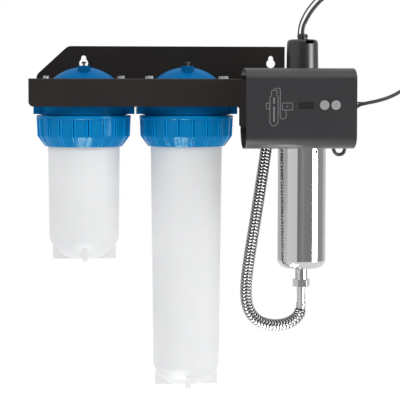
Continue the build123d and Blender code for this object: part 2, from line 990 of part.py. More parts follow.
def outlet_nipple():
    """The pipe from the right cap's port to the elbow."""
    start = port_reach - link_insert
    end = elbow_x - elbow_leg + link_insert / 2
    return pipe(pipe_radius, pipe_bore_radius, (start, axis_y, port_z), (end, axis_y, port_z))


def outlet_elbow():
    """A forged elbow from the outlet pipe down to the hose's nut."""
    corner = (elbow_x, axis_y, port_z)
    start = (elbow_x - elbow_leg, axis_y, port_z)
    collar_end = (elbow_x - elbow_leg + link_insert / 2, axis_y, port_z)
    low = (elbow_x, axis_y, port_z - elbow_drop)
    tip = (elbow_x, axis_y, port_z - elbow_drop - elbow_stub)
    body = rod(elbow_radius, start, corner) + Pos(*corner) * Sphere(elbow_radius)
    body += rod(elbow_radius, corner, low) + rod(elbow_stub_radius, low, tip)
    body -= rod(pipe_radius + running, start, collar_end)
    body -= rod(ferrule_bore_radius, start, corner) + Pos(*corner) * Sphere(ferrule_bore_radius)
    return body - rod(ferrule_bore_radius, corner, tip)


def hose_end(x, face_z, way, length):
    """A ferrule, its nut and gasket at a pipe's end face; way is 1 upwards or -1 downwards."""
    def at(distance):
        return (x, axis_y, face_z + way * distance)

    gasket = pipe(ferrule_head_radius, ferrule_bore_radius, at(seat_gap), at(gasket_thickness))
    head_end = gasket_thickness + ferrule_head_height
    ferrule = rod(ferrule_head_radius, at(gasket_thickness), at(head_end))
    ferrule += rod(ferrule_radius, at(gasket_thickness), at(head_end + nut_lip + length))
    ferrule -= rod(ferrule_bore_radius, at(gasket_thickness), at(head_end + nut_lip + length))
    nut_end = head_end + seat_gap + nut_lip
    nut = hexagon(nut_flats, at(nut_end - nut_height), at(nut_end))
    nut -= rod(nut_bore_radius, at(nut_end - nut_height), at(nut_end - nut_lip))
    nut -= rod(ferrule_radius + running, at(nut_end - nut_lip), at(nut_end))
    return ferrule, nut, gasket


def hose_path():
    """The hose's route in the plane of the housing axes."""
    return route("corrugated_hose", [(x, axis_y, z) for x, z in hose_points])


def ring_at(path, distance, radius):
    """A circle square to the path, on a steady X axis."""
    share = distance / path.length
    return Plane(origin=path @ share, x_dir=(0, 1, 0), z_dir=path % share) * Circle(radius)


def corrugated_hose():
    """A bellows hose: each rib is a ruled loft through four circles, round one open bore."""
    path = hose_path()
    end = 2 * hose_radius
    count = round((path.length - end) / hose_pitch)
    pitch = (path.length - end) / count
    rings = [ring_at(path, 0, hose_root_radius)]
    for i in range(count):
        start = hose_radius + i * pitch
        crest = start + hose_flank_share * pitch
        crest_end = crest + hose_crest_share * pitch
        rings.append(ring_at(path, start, hose_root_radius))
        rings.append(ring_at(path, crest, hose_radius))
        rings.append(ring_at(path, crest_end, hose_radius))
        rings.append(ring_at(path, crest_end + hose_flank_share * pitch, hose_root_radius))
    rings.append(ring_at(path, path.length, hose_root_radius))
    body = loft(rings, ruled=True)
    print("corrugated_hose ribs", count, "length", round(path.length, 1))
    return body - sweep(ring_at(path, 0, hose_bore_radius), path=path)


# Ultraviolet chamber


def at_chamber(shape):
    """A piece modelled about Z, placed on the chamber's axis."""
    return Pos(chamber_x, axis_y, 0) * shape


def chamber_body():
    """The chamber's tube, its thick head, the ring that locates the boot and the threaded neck."""
    body = upright(chamber_radius, 0, 0, chamber_seam_z, chamber_top_z)
    body -= upright(chamber_radius - chamber_wall, 0, 0, chamber_seam_z, chamber_top_z - head_thickness)
    ring_top = chamber_top_z + head_ring_height
    ring_inner = head_ring_radius - head_ring_wall
    body += pipe(head_ring_radius, ring_inner, (0, 0, chamber_top_z), (0, 0, ring_top))
    neck_top = chamber_top_z + neck_length
    body += upright(neck_radius, 0, 0, chamber_top_z, neck_top)
    body -= upright(neck_bore_radius, 0, 0, chamber_top_z - head_thickness - overrun, neck_top)
    hole = rod(outlet_bore_radius, (0, 0, outlet_z), (chamber_radius + overrun, 0, outlet_z))
    return body - hole


def chamber_base():
    """The pressed bottom cup, its weld bead and the drain nipple for the hose."""
    cup = upright(chamber_radius, 0, 0, chamber_bottom_z, chamber_seam_z)
    cup = fillet(cup.edges().sort_by(Axis.Z)[0], chamber_corner)
    bore = chamber_radius - chamber_wall
    inner = upright(bore, 0, 0, chamber_bottom_z + chamber_wall, chamber_seam_z)
    inner = fillet(inner.edges().sort_by(Axis.Z)[0], chamber_corner - chamber_wall)
    bead_top = (0, 0, chamber_seam_z)
    bead_low = (0, 0, chamber_seam_z - chamber_bead_height)
    body = cup + pipe(chamber_radius + chamber_bead, bore, bead_low, bead_top) - inner
    body += upright(drain_radius, 0, 0, drain_bottom_z, chamber_bottom_z + chamber_wall)
    return body - upright(drain_bore_radius, 0, 0, drain_bottom_z, chamber_bottom_z + 2 * chamber_wall)


def chamber_outlet():
    """The threaded outlet port on the chamber's right side, with its welding collar."""
    start = chamber_radius
    body = rod(outlet_radius, (0, 0, outlet_z), (start + outlet_length, 0, outlet_z))
    body += rod(outlet_collar_radius, (0, 0, outlet_z), (start + outlet_collar_length, 0, outlet_z))
    reach = outlet_collar_radius + overrun
    body -= upright(chamber_radius, 0, 0, outlet_z - reach, outlet_z + reach)
    return body - rod(outlet_bore_radius, (0, 0, outlet_z), (start + outlet_length, 0, outlet_z))


def quartz_sleeve():
    """The glass tube round the lamp, closed by a round end at the bottom."""
    top = chamber_top_z + neck_length + sleeve_above
    bore = sleeve_radius - sleeve_wall
    end = top - sleeve_length + sleeve_radius
    outer = upright(sleeve_radius, 0, 0, end, top) + Pos(0, 0, end) * Sphere(sleeve_radius)
    return outer - upright(bore, 0, 0, end, top) - Pos(0, 0, end) * Sphere(bore)


def sleeve_seal():
    """The ring that seals the sleeve in the neck."""
    z = chamber_top_z + neck_length + sleeve_ring_radius + seat_gap
    return Pos(0, 0, z) * Torus(sleeve_radius + sleeve_ring_radius + seat_gap, sleeve_ring_radius)


def gland_nut():
    """The nut that presses the seal onto the neck."""
    low = chamber_top_z + seat_gap
    high = low + gland_height
    body = hexagon(gland_flats, (0, 0, low), (0, 0, high))
    body -= upright(neck_radius + running, 0, 0, low, high - gland_wall_top)
    return body - upright(sleeve_radius + slip, 0, 0, low, high)


def sleeve_seat():
    """The cup at the chamber's bottom that centres the sleeve, on a foot over the drain."""
    low = chamber_top_z + neck_length + sleeve_above - sleeve_length
    rim = low + seat_cup_height
    outer = sleeve_radius + slip + seat_cup_wall
    under = low - seat_gap
    body = pipe(outer, drain_bore_radius / 2, (0, 0, under - seat_cup_wall), (0, 0, under))
    body += pipe(outer, sleeve_radius + slip, (0, 0, under - seat_cup_wall), (0, 0, rim))
    foot_z = chamber_bottom_z + chamber_wall
    leg = block((outer - seat_cup_wall, -seat_cup_wall, foot_z), (outer, seat_cup_wall, under))
    for i in range(seat_leg_count):
        body += Rot(0, 0, 360 * i / seat_leg_count) * leg
    return body


def uv_lamp():
    """The lamp's glass tube under its ceramic base."""
    top = chamber_top_z + neck_length + sleeve_above + seat_gap
    glass = upright(lamp_radius, 0, 0, top - lamp_length, top)
    return glass + upright(lamp_base_radius, 0, 0, top - lamp_base_height / 2, top + lamp_base_height / 2)


def lamp_connector():
    """The plug that sits over the lamp's base, inside the boot."""
    lamp_top = chamber_top_z + neck_length + sleeve_above + seat_gap + lamp_base_height / 2
    low = lamp_top - connector_overlap + seat_gap
    body = upright(connector_radius, 0, 0, low, low + connector_height)
    return body - upright(lamp_base_radius + running, 0, 0, low, lamp_top + seat_gap)


# Boot and strain relief


def boot_notch():
    """The shallow recess in the boot's top edge, at the front and to the right."""
    front = -boot_top_radius
    body = block(
        (boot_notch_left, front - overrun, boot_top_z - boot_notch_height),
        (boot_notch_left + boot_notch_width, front + boot_notch_depth, boot_top_z + overrun),
    )
    return body - upright(boot_top_radius - boot_notch_depth, 0, 0, -boot_top_z, boot_top_z)


def lamp_boot():
    """The black boot over the lamp's plug: a drafted cap with a round top edge and a notch."""
    low = chamber_top_z + seat_gap
    body = taper(boot_bottom_radius, boot_top_radius, (0, 0, low), (0, 0, boot_top_z))
    body = fillet(body.edges().sort_by(Axis.Z)[-1], boot_round)
    inner_low = head_ring_radius + running
    inner_top = boot_top_radius - boot_wall
    step = chamber_top_z + head_ring_height
    body -= upright(inner_low, 0, 0, low, step)
    body -= taper(inner_low, inner_top, (0, 0, step), (0, 0, boot_top_z - boot_wall))
    body -= upright(relief_radius + running, 0, 0, boot_top_z - boot_wall - overrun, boot_top_z + overrun)
    return body - boot_notch()


def relief_claws(collar_high, top):
    """The ring of claws round the strain relief's tip, each on an arm from the collar."""
    half = claw_width / 2
    claw = block(
        (relief_tip_radius, -half, top - claw_drop),
        (claw_reach, half, top - claw_top_gap),
    )
    arm = block(
        (claw_reach - claw_width, -half, collar_high - seat_gap),
        (claw_reach, half, top - claw_drop / 2),
    )
    step = 360 / claw_count
    return [Rot(0, 0, (i + 1 / 2) * step) * (claw + arm) for i in range(claw_count)]


def strain_relief():
    """The clamp in the boot's top: a flange inside, a collar outside and a ring of claws."""
    top = boot_top_z + relief_height
    collar_low = boot_top_z + seat_gap
    collar_high = collar_low + relief_collar_height
    flange_high = boot_top_z - boot_wall - seat_gap
    flange_low = flange_high - relief_flange_height
    body = upright(relief_flange_radius, 0, 0, flange_low, flange_high)
    body += upright(relief_radius, 0, 0, flange_high, collar_low)
    body += upright(relief_collar_radius, 0, 0, collar_low, collar_high)
    body += taper(relief_cone_radius, relief_tip_radius, (0, 0, collar_high), (0, 0, top))
    for claw in relief_claws(collar_high, top):
        body += claw
    body -= upright(cable_radius + cable_bore_clearance, 0, 0, flange_low, top + overrun)
    wire_bore = wire_radius + cable_bore_clearance
    return body - upright(wire_bore, -wire_offset, 0, wire_start_z, top + overrun)


def ground_lug():
    """The ring and barrel at the ground wire's end, flat on the carrier plate's back."""
    y = carrier_back_y
    face = y + lug_thickness
    above = y + 2 * lug_barrel_length
    end = Vector(*wire_points[-1])
    way = (end - Vector(*wire_points[-2])).normalized()
    barrel = rod(wire_radius + lug_thickness / 2, tuple(end), tuple(end + way * lug_barrel_length))
    barrel -= rod(ground_screw_head_radius + slip, (lug_x, face, lug_z), (lug_x, above, lug_z))
    reach = 2 * lug_barrel_length
    behind = block((lug_x - reach, y - reach, lug_z - reach), (lug_x + reach, y, lug_z + reach))
    ring = rod(lug_ring_radius, (lug_x, y, lug_z), (lug_x, face, lug_z))
    body = ring + (barrel - behind)
    return body - rod(lug_hole_radius, (lug_x, y - overrun, lug_z), (lug_x, above, lug_z))


def ground_screw():
    """The screw that clamps the lug."""
    seat = carrier_back_y + lug_thickness
    top = seat + ground_screw_head_height
    head = rod(ground_screw_head_radius, (lug_x, seat, lug_z), (lug_x, top, lug_z))
    tip = seat - ground_screw_length
    return head + rod(ground_screw_radius - running, (lug_x, tip, lug_z), (lug_x, seat, lug_z))


def cable_gland():
    """The block on the carrier plate's back that the lamp cable leaves downwards, with a tapered nose."""
    x, y, low = gland_x, gland_y, gland_block_bottom_z
    half = gland_block_width / 2
    high = low + gland_block_height
    body = block((x - half, carrier_back_y, low), (x + half, carrier_back_y + gland_block_depth, high))
    return body + taper(gland_nose_radius, gland_tip_radius, (x, y, low), (x, y, gland_tip_z))


# Saddles and bands


def saddle(z):
    """One block between the carrier plate and the chamber, grooved for its band."""
    low, high = z - saddle_height / 2, z + saddle_height / 2
    half = saddle_width / 2
    start = carrier_back_y - axis_y
    body = block((-half, start, low), (half, -chamber_radius / 2, high))
    body -= upright(chamber_radius + running, 0, 0, low - overrun, high + overrun)
    groove = band_height / 2 + band_clearance
    groove_radius = chamber_radius + band_thickness + band_clearance
    body -= upright(groove_radius, 0, 0, z - groove, z + groove)
    for x in (-mount_screw_offset, mount_screw_offset):
        end = start + mount_screw_length - sheet
        body -= rod(mount_screw_radius + running, (x, start - overrun, z), (x, end, z))
    return at_chamber(body)


def band(z):
    """A steel band round the chamber, with its screw housing at the back."""
    low, high = z - band_height / 2, z + band_height / 2
    inner = chamber_radius + running
    outer = inner + band_thickness
    half = band_house_width / 2
    body = pipe(outer, inner, (0, 0, low), (0, 0, high))
    body += block((-half, outer - band_thickness / 2, low), (half, outer + band_house_depth, high))
    body -= upright(inner, 0, 0, low - overrun, high + overrun)
    y = outer + band_house_depth / 2
    hole = band_screw_radius + running
    return at_chamber(body - rod(hole, (-band_house_width, y, z), (band_house_width, y, z)))


def band_screws():
    """The worm screws of the bands."""
    y = chamber_radius + running + band_thickness + band_house_depth / 2
    half = band_screw_length / 2
    screws = [rod(band_screw_radius, (-half, y, z), (half, y, z)) for z in saddle_z]
    return group([at_chamber(screw) for screw in screws])


def mount_nut(x, z):
    """The nut on a screw that has no saddle behind it."""
    start = (x, carrier_back_y, z)
    end = (x, carrier_back_y + mount_screw_head_height, z)
    nut = hexagon(2 * mount_screw_head_radius, start, end)
    return nut - rod(mount_screw_radius + running, start, end)


def mount_screws():
    """Screws through the chassis and the carrier plate, four of them into the saddles."""
    y = lip_y - chassis_sheet
    made = []
    for x, z in mount_screw_places():
        head = rod(mount_screw_head_radius, (x, y - mount_screw_head_height, z), (x, y, z))
        length = mount_screw_length if x > shelf_right_x else mount_screw_length / 2
        made.append(head + rod(mount_screw_radius, (x, y, z), (x, y + length, z)))
        if x < shelf_right_x:
            made.append(mount_nut(x, z))
    return group(made)


# Controller


def pillar_places():
    """The circuit board's four pillars, as X and Z."""
    xs = (board_left_x + pillar_inset / 2, chassis_right_x - pillar_inset / 2)
    zs = (board_top_z - pillar_inset / 2, board_bottom_z + pillar_inset / 2)
    return [(x, z) for x in xs for z in zs]


def lug_places():
    """Where the cover is screwed to the chassis, as X and the side, 1 above and -1 below."""
    xs = (chassis_left_x + chassis_lug_inset, chassis_right_x - chassis_lug_inset)
    return [(x, side) for x in xs for side in (1, -1)]


def flat_depth():
    """How far in front of the wall the cover's flat top and bottom are widest."""
    return (cover_front_depth - front_round_depth + cover_back_depth + back_round_depth) / 2


def chassis_tray():
    """The chassis as a folded tray, open to the front."""
    t = chassis_sheet
    left, right, high, low = chassis_left_x, chassis_right_x, chassis_top_z, chassis_bottom_z
    front = lip_y - chassis_depth
    inside = block((left + t, front - overrun, low + t), (right - t, lip_y - t, high - t))
    return block((left, front, low), (right, lip_y, high)) - inside


def chassis_lug(x, side):
    """A lug that stands from the tray's top or bottom up to the cover, drilled for its screw."""
    y = -flat_depth()
    edge = (chassis_top_z if side > 0 else chassis_bottom_z) - side * chassis_sheet
    reach = (cover_top_z if side > 0 else cover_bottom_z) - side * (cover_wall + seat_gap)
    low, high = sorted((edge, reach))
    half_x, half_y = chassis_lug_width / 2, chassis_lug_depth / 2
    body = block((x - half_x, y - half_y, low), (x + half_x, y + half_y, high))
    hole = cover_screw_radius + running
    return body - rod(hole, (x, y, reach + side * overrun), (x, y, edge))


def chassis():
    """The tray on the carrier plate, with pillars for the board and lugs for the cover."""
    body = chassis_tray()
    for x, z in pillar_places():
        body += rod(pillar_radius, (x, lip_y - chassis_sheet, z), (x, board_y, z))
        body -= rod(pillar_screw_radius + running, (x, board_y, z), (x, board_y + pillar_screw_length, z))
    for x, side in lug_places():
        body += chassis_lug(x, side)
    for x, z in mount_screw_places():
        hole = mount_screw_radius + running
        body -= rod(hole, (x, lip_y - chassis_sheet - overrun, z), (x, lip_y + overrun, z))
    half_y, half_z = inlet_width / 2 + slip, inlet_height / 2 + slip
    return body - block(
        (chassis_right_x - chassis_sheet - overrun, inlet_y - half_y, inlet_z - half_z),
        (chassis_right_x + overrun, inlet_y + half_y, inlet_z + half_z),
    )


def circuit_board():
    """The board on the pillars."""
    front = board_y - board_thickness
    body = block((board_left_x, front, board_bottom_z), (board_right_x, board_y, board_top_z))
    for x, z in pillar_places():
        body -= rod(pillar_screw_radius + slip, (x, front - overrun, z), (x, board_y + overrun, z))
    return body


def board_screws():
    """The screws that hold the board on its pillars."""
    front = board_y - board_thickness
    made = []
    for x, z in pillar_places():
        head = rod(pillar_screw_head_radius, (x, front - pillar_screw_head_height, z), (x, front, z))
        made.append(head + rod(pillar_screw_radius, (x, front, z), (x, front + pillar_screw_length, z)))
    return group(made)


def board_parts():
    """Capacitors, a coil, a buzzer and a cable header on the board's front."""
    front = board_y - board_thickness
    made = []
    for i in range(capacitor_count):
        x = capacitor_x + i * capacitor_pitch
        can = rod(capacitor_radius, (x, front - capacitor_length, capacitor_z), (x, front, capacitor_z))
        made.append(fillet(can.edges().sort_by(Axis.Y)[0], capacitor_round))
    half = coil_size / 2
    low = (coil_x - half, front - coil_size, coil_z - half)
    made.append(block(low, (coil_x + half, front, coil_z + half)))
    low = (buzzer_x, front - buzzer_height, buzzer_z)
    made.append(rod(buzzer_radius, low, (buzzer_x, front, buzzer_z)))
    low = (header_x, front - header_depth, header_z)
    made.append(block(low, (header_x + header_width, front, header_z + header_height)))
    return group(made)


def ballast():
    """The potted lamp driver on the chassis floor."""
    y = lip_y - chassis_sheet
    low = (ballast_left_x, y - ballast_depth, ballast_top_z - ballast_height)
    body = block(low, (ballast_left_x + ballast_width, y, ballast_top_z))
    return fillet(body.edges().filter_by(Axis.Y), chassis_sheet)


def quarter(centre, depth, height, start):
    """A quarter of an ellipse, turned counterclockwise from that angle."""
    return EllipticalCenterArc(centre, depth, height, start_angle=start, arc_size=90)


def cover_section(inset):
    """The cover's closed outline in depth and height, seen from the right, or its inside."""
    front, back = -cover_front_depth + inset, -cover_back_depth - inset
    high, low = cover_top_z - inset, cover_bottom_z + inset
    fd, fh = front_round_depth - inset, front_round_height - inset
    bd, bh = back_round_depth - inset, back_round_height - inset
    edges = [
        quarter((back - bd, high - bh), bd, bh, 0),
        Line((back - bd, high), (front + fd, high)),
        quarter((front + fd, high - fh), fd, fh, 90),
        Line((front, high - fh), (front, low + fh)),
        quarter((front + fd, low + fh), fd, fh, 180),
        Line((front + fd, low), (back - bd, low)),
        quarter((back - bd, low + bh), bd, bh, 270),
        Line((back, low + bh), (back, high - bh)),
    ]
    return make_face(Wire(edges))


def cover_screw_hole(x, side):
    """The countersunk hole for a cover screw, as a cutter."""
    face = cover_top_z if side > 0 else cover_bottom_z
    y = -flat_depth()
    hole = cover_screw_radius + running
    start, neck = (x, y, face), (x, y, face - side * cover_screw_head_height)
    sink = taper(cover_screw_head_radius + running, hole, start, neck)
    return sink + rod(hole, neck, (x, y, face - side * (cover_wall + overrun)))


def cover():
    """The wrapped front cover, open at both ends and along its back."""
    ring = Plane.YZ * (cover_section(0) - cover_section(cover_wall))
    body = Pos(cover_left_x, 0, 0) * extrude(ring, cover_right_x - cover_left_x)
    body -= block(
        (cover_left_x - overrun, -cover_back_depth - back_round_depth, cover_opening_bottom_z),
        (cover_right_x + overrun, -cover_back_depth + overrun, cover_opening_top_z),
    )
    c = window_clearance
    front = -cover_front_depth - overrun
    inner = -cover_front_depth + cover_wall + overrun
    body -= block(
        (window_left_x - c, front, window_bottom_z - c),
        (window_right_x + c, inner, window_top_z + c),
    )
    for x in button_xs:
        body -= rod(button_radius + button_clearance, (x, front, button_z), (x, inner, button_z))
    for x, side in lug_places():
        body -= cover_screw_hole(x, side)
    return body


def cover_screws():
    """Four countersunk screws, two above and two below."""
    made = []
    for x, side in lug_places():
        face = cover_top_z if side > 0 else cover_bottom_z
        y = -flat_depth()
        neck = (x, y, face - side * cover_screw_head_height)
        head = taper(cover_screw_head_radius, cover_screw_radius, (x, y, face), neck)
        made.append(head + rod(cover_screw_radius, neck, (x, y, face - side * cover_screw_length)))
    return group(made)


def display_window():
    """The dark window, set in the cover with a flange behind."""
    front = -cover_front_depth
    inner = front + cover_wall + seat_gap
    pane = block(
        (window_left_x, front + window_recess, window_bottom_z),
        (window_right_x, inner, window_top_z),
    )
    rim = block(
        (window_left_x - window_flange, inner, window_bottom_z - window_flange),
        (window_right_x + window_flange, inner + window_flange_thickness, window_top_z + window_flange),
    )
    return pane + rim


def display_module():
    """The display behind the window, on the board."""
    m = display_margin
    back = board_y - board_thickness
    behind = cover_wall + seat_gap + window_flange_thickness + display_gap
    low = (window_left_x - m, -cover_front_depth + behind, window_bottom_z - m)
    return block(low, (window_right_x + m, back, window_top_z + m))


def push_button(x):
    """A round button: its face, the flange behind the cover and the stem towards its switch."""
    front = -cover_front_depth
    inner = front + cover_wall + seat_gap
    face = rod(button_radius, (x, front - button_proud, button_z), (x, inner, button_z))
    face = fillet(face.edges().sort_by(Axis.Y)[0], button_edge)
    flange = rod(button_flange_radius, (x, inner, button_z), (x, inner + button_flange_thickness, button_z))
    switch_tip = board_y - board_thickness - switch_height - switch_plunger_height
    end = switch_tip - button_travel - button_spare_travel
    return face + flange + rod(button_stem_radius, (x, inner, button_z), (x, end, button_z))


def button_switch(x):
    """The switch on the board behind a button."""
    front = board_y - board_thickness
    half = switch_size / 2
    body = block((x - half, front - switch_height, button_z - half), (x + half, front, button_z + half))
    tip = front - switch_height - switch_plunger_height
    return body + rod(switch_plunger_radius, (x, tip, button_z), (x, front - switch_height, button_z))


def power_inlet():
    """The mains socket in the chassis side: a flanged shell with three pins."""
    x, y, z = chassis_right_x, inlet_y, inlet_z
    w, h = inlet_width / 2, inlet_height / 2
    body = block((x - inlet_length, y - w, z - h), (x, y + w, z + h))
    f = inlet_flange
    body += block((x, y - w - f / 2, z - h - f), (x + inlet_flange_thickness, y + w + f / 2, z + h + f))
    body -= block(
        (x - inlet_length + inlet_floor, y - w + inlet_wall, z - h + inlet_wall),
        (x + inlet_flange_thickness + overrun, y + w - inlet_wall, z + h - inlet_wall),
    )
    floor = x - inlet_length + inlet_floor
    for dy, dz in ((-pin_rise, -pin_spread), (-pin_rise, pin_spread), (pin_rise, 0)):
        low = (floor - overrun, y + dy - pin_height / 2, z + dz - pin_width / 2)
        body += block(low, (floor + pin_length, y + dy + pin_height / 2, z + dz + pin_width / 2))
    return body


# Export

save("mounting_bracket", bracket())
all_bolts = [place for x in (left_housing_x, right_housing_x) for place in bolt_places(x)]
save("cap_bolts", group([cap_bolt(x, y) for x, y in all_bolts]))
save("cap_washers", group([cap_washer(x, y) for x, y in all_bolts]))
for side, placed_cap, placed_button, placed_collar, placed_seal in zip(
    ("left", "right"), housings(cap()), housings(vent_button()), housings(collar()), housings(bowl_seal())
):
    save(f"{side}_cap", placed_cap)
    save(f"{side}_vent_button", placed_button)
    save(f"{side}_collar", placed_collar)
    save(f"{side}_bowl_seal", placed_seal)
save("vent_springs", group(housings(vent_spring())))
save("left_bowl", housings(bowl(left_bowl_length, left_cartridge_length))[0])
save("right_bowl", housings(bowl(right_bowl_length, right_cartridge_length))[1])
save("left_filter_media", housings(filter_media(left_cartridge_length))[0])
save("left_filter_ends", housings(filter_ends(left_cartridge_length))[0])
save("right_filter_block", housings(filter_media(right_cartridge_length))[1])
save("right_filter_ends", housings(filter_ends(right_cartridge_length))[1])

save("link_nipple", link_nipple())
save_bay("outlet_nipple", outlet_nipple())
save_bay("outlet_elbow", outlet_elbow())
elbow_tip_z = port_z - elbow_drop - elbow_stub
top_length = elbow_tip_z - gasket_thickness - ferrule_head_height - nut_lip - hose_top_z
top_ferrule, top_nut, top_gasket = hose_end(elbow_x, elbow_tip_z, -1, top_length)
bottom_length = drain_bottom_z - gasket_thickness - ferrule_head_height - nut_lip - hose_bottom_z
bottom_ferrule, bottom_nut, bottom_gasket = hose_end(chamber_x, drain_bottom_z, -1, bottom_length)
save_bay("hose_top_nut", top_nut)
save_bay("hose_bottom_nut", bottom_nut)
save_bay("hose_ferrules", group([top_ferrule, bottom_ferrule]))
save_bay("hose_gaskets", group([top_gasket, bottom_gasket]))
save_bay("corrugated_hose", corrugated_hose())

save_bay("chamber_body", at_chamber(chamber_body()))
save_bay("chamber_base", at_chamber(chamber_base()))
save_bay("chamber_outlet_port", at_chamber(chamber_outlet()))
save_bay("quartz_sleeve", at_chamber(quartz_sleeve()))
save_bay("sleeve_seal", at_chamber(sleeve_seal()))
save_bay("sleeve_gland_nut", at_chamber(gland_nut()))
save_bay("sleeve_seat", at_chamber(sleeve_seat()))
save_bay("uv_lamp", at_chamber(uv_lamp()))
save_bay("lamp_connector", at_chamber(lamp_connector()))
save_bay("lamp_boot", at_chamber(lamp_boot()))
save_bay("strain_relief", at_chamber(strain_relief()))
save_bay("lamp_cable", cord("lamp_cable", cable_points, cable_radius))
save_bay("ground_wire", cord("ground_wire", wire_points, wire_radius))
save_bay("ground_lug", ground_lug())
save_bay("ground_screw", ground_screw())
save_bay("lamp_cable_gland", cable_gland())
save_bay("chamber_saddles", group([saddle(z) for z in saddle_z]))
save_bay("chamber_bands", group([band(z) for z in saddle_z]))
save_bay("band_screws", band_screws())
save_bay("mount_screws", mount_screws())

save_bay("controller_chassis", chassis())
save_bay("circuit_board", circuit_board())
save_bay("board_screws", board_screws())
save_bay("board_parts", board_parts())
save_bay("ballast_module", ballast())
save_bay("display_module", display_module())
save_bay("display_window", display_window())
save_bay("left_button", push_button(button_xs[0]))
save_bay("right_button", push_button(button_xs[1]))
save_bay("button_switches", group([button_switch(x) for x in button_xs]))
save_bay("power_inlet", power_inlet())
save_bay("controller_cover", cover())
save_bay("cover_screws", cover_screws())
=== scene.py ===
import json
from contextlib import contextmanager
from math import cos, pi, radians, sin

import bmesh
import bpy
import numpy as np
from bpy.props import FloatProperty, FloatVectorProperty, IntProperty, PointerProperty
from mathutils import Matrix, Vector

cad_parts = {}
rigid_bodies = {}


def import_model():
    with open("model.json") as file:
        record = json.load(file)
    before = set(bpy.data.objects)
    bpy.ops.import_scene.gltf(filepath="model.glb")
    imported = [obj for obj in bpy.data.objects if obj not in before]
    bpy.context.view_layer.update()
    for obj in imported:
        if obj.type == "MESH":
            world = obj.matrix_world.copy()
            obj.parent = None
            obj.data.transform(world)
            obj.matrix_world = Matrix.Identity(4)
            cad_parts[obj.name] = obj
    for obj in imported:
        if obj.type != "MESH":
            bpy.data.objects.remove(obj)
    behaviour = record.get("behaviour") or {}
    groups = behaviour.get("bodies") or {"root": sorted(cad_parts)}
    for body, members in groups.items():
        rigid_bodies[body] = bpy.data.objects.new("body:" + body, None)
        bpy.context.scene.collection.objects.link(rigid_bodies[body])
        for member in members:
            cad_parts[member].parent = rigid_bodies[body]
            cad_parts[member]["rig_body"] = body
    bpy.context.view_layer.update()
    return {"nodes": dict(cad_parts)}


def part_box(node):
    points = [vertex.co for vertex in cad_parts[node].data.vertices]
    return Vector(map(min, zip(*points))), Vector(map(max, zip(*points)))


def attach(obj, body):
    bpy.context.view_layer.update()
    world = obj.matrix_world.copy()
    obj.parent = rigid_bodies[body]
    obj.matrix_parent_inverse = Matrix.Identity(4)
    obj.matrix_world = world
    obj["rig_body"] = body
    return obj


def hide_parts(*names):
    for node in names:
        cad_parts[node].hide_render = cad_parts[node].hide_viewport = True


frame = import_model()

bl_info = {
    "name": "Ultraviolet Water Purifier",
    "version": (1, 0, 0),
    "blender": (4, 5, 0),
    "location": "View3D > Sidebar > Purifier",
    "description": "Builds the finished surfaces of a wall-mounted ultraviolet water purifier",
    "category": "Add Mesh",
}

MM = 0.001

# Places read from the frame
left_axis = (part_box("left_collar")[0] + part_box("left_collar")[1]) / 2
right_axis = (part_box("right_collar")[0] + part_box("right_collar")[1]) / 2
collar_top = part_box("left_collar")[1].z
collar_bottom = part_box("left_collar")[0].z
cover_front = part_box("controller_cover")[0].y

# Routes of the cords, in metres
HOSE_ROUTE = [
    (0.183, -0.115, -0.124), (0.183, -0.115, -0.152), (0.1755, -0.115, -0.208),
    (0.159, -0.115, -0.318), (0.1445, -0.115, -0.408), (0.1364, -0.115, -0.470),
    (0.1385, -0.115, -0.516), (0.157, -0.115, -0.5455), (0.1895, -0.115, -0.558),
    (0.2215, -0.115, -0.556), (0.2455, -0.115, -0.5435), (0.2555, -0.115, -0.526),
    (0.2555, -0.115, -0.5088),
]
CABLE_ROUTE = [
    (0.2555, -0.115, 0.0619), (0.2555, -0.115, 0.073), (0.262, -0.116, 0.089),
    (0.275, -0.1175, 0.1115), (0.297, -0.120, 0.136), (0.329, -0.124, 0.157),
    (0.369, -0.130, 0.168), (0.412, -0.138, 0.166), (0.457, -0.150, 0.148),
    (0.491, -0.162, 0.113), (0.507, -0.172, 0.067), (0.505, -0.182, 0.019),
    (0.488, -0.190, -0.023), (0.462, -0.196, -0.051), (0.431, -0.199, -0.0695),
    (0.400, -0.200, -0.079), (0.376, -0.198, -0.0835), (0.361, -0.195, -0.0875),
    (0.351, -0.191, -0.0965), (0.342, -0.186, -0.1145), (0.337, -0.182, -0.138),
    (0.3355, -0.180, -0.163), (0.3355, -0.180, -0.1906), (0.3105, -0.180, -0.1906),
    (0.3105, -0.180, -0.165),
]
WIRE_ROUTE = [
    (0.2467, -0.115, 0.058), (0.2467, -0.115, 0.072), (0.252, -0.115, 0.090),
    (0.264, -0.1155, 0.113), (0.286, -0.1165, 0.139), (0.319, -0.1185, 0.162),
    (0.361, -0.122, 0.1745), (0.410, -0.130, 0.171), (0.457, -0.1425, 0.148),
    (0.491, -0.1545, 0.113), (0.507, -0.1645, 0.067), (0.505, -0.1745, 0.019),
    (0.488, -0.1825, -0.023), (0.462, -0.1885, -0.051), (0.431, -0.1915, -0.0695),
    (0.400, -0.1925, -0.079), (0.376, -0.1905, -0.0825), (0.357, -0.1895, -0.0825),
    (0.338, -0.1935, -0.080), (0.323, -0.200, -0.074), (0.312, -0.2065, -0.0655),
    (0.3062, -0.2096, -0.0586),
]


def linear(code):
    """A colour of six hexadecimal digits as the linear values that shaders use."""
    part = np.array([int(code[i:i + 2], 16) for i in (1, 3, 5)]) / 255
    return tuple(np.where(part <= 0.04045, part / 12.92, ((part + 0.055) / 1.055) ** 2.4))


def length(name, value, about):
    """A length setting in metres."""
    return FloatProperty(
        name=name, description=about, default=value, precision=5, subtype="DISTANCE", unit="LENGTH"
    )


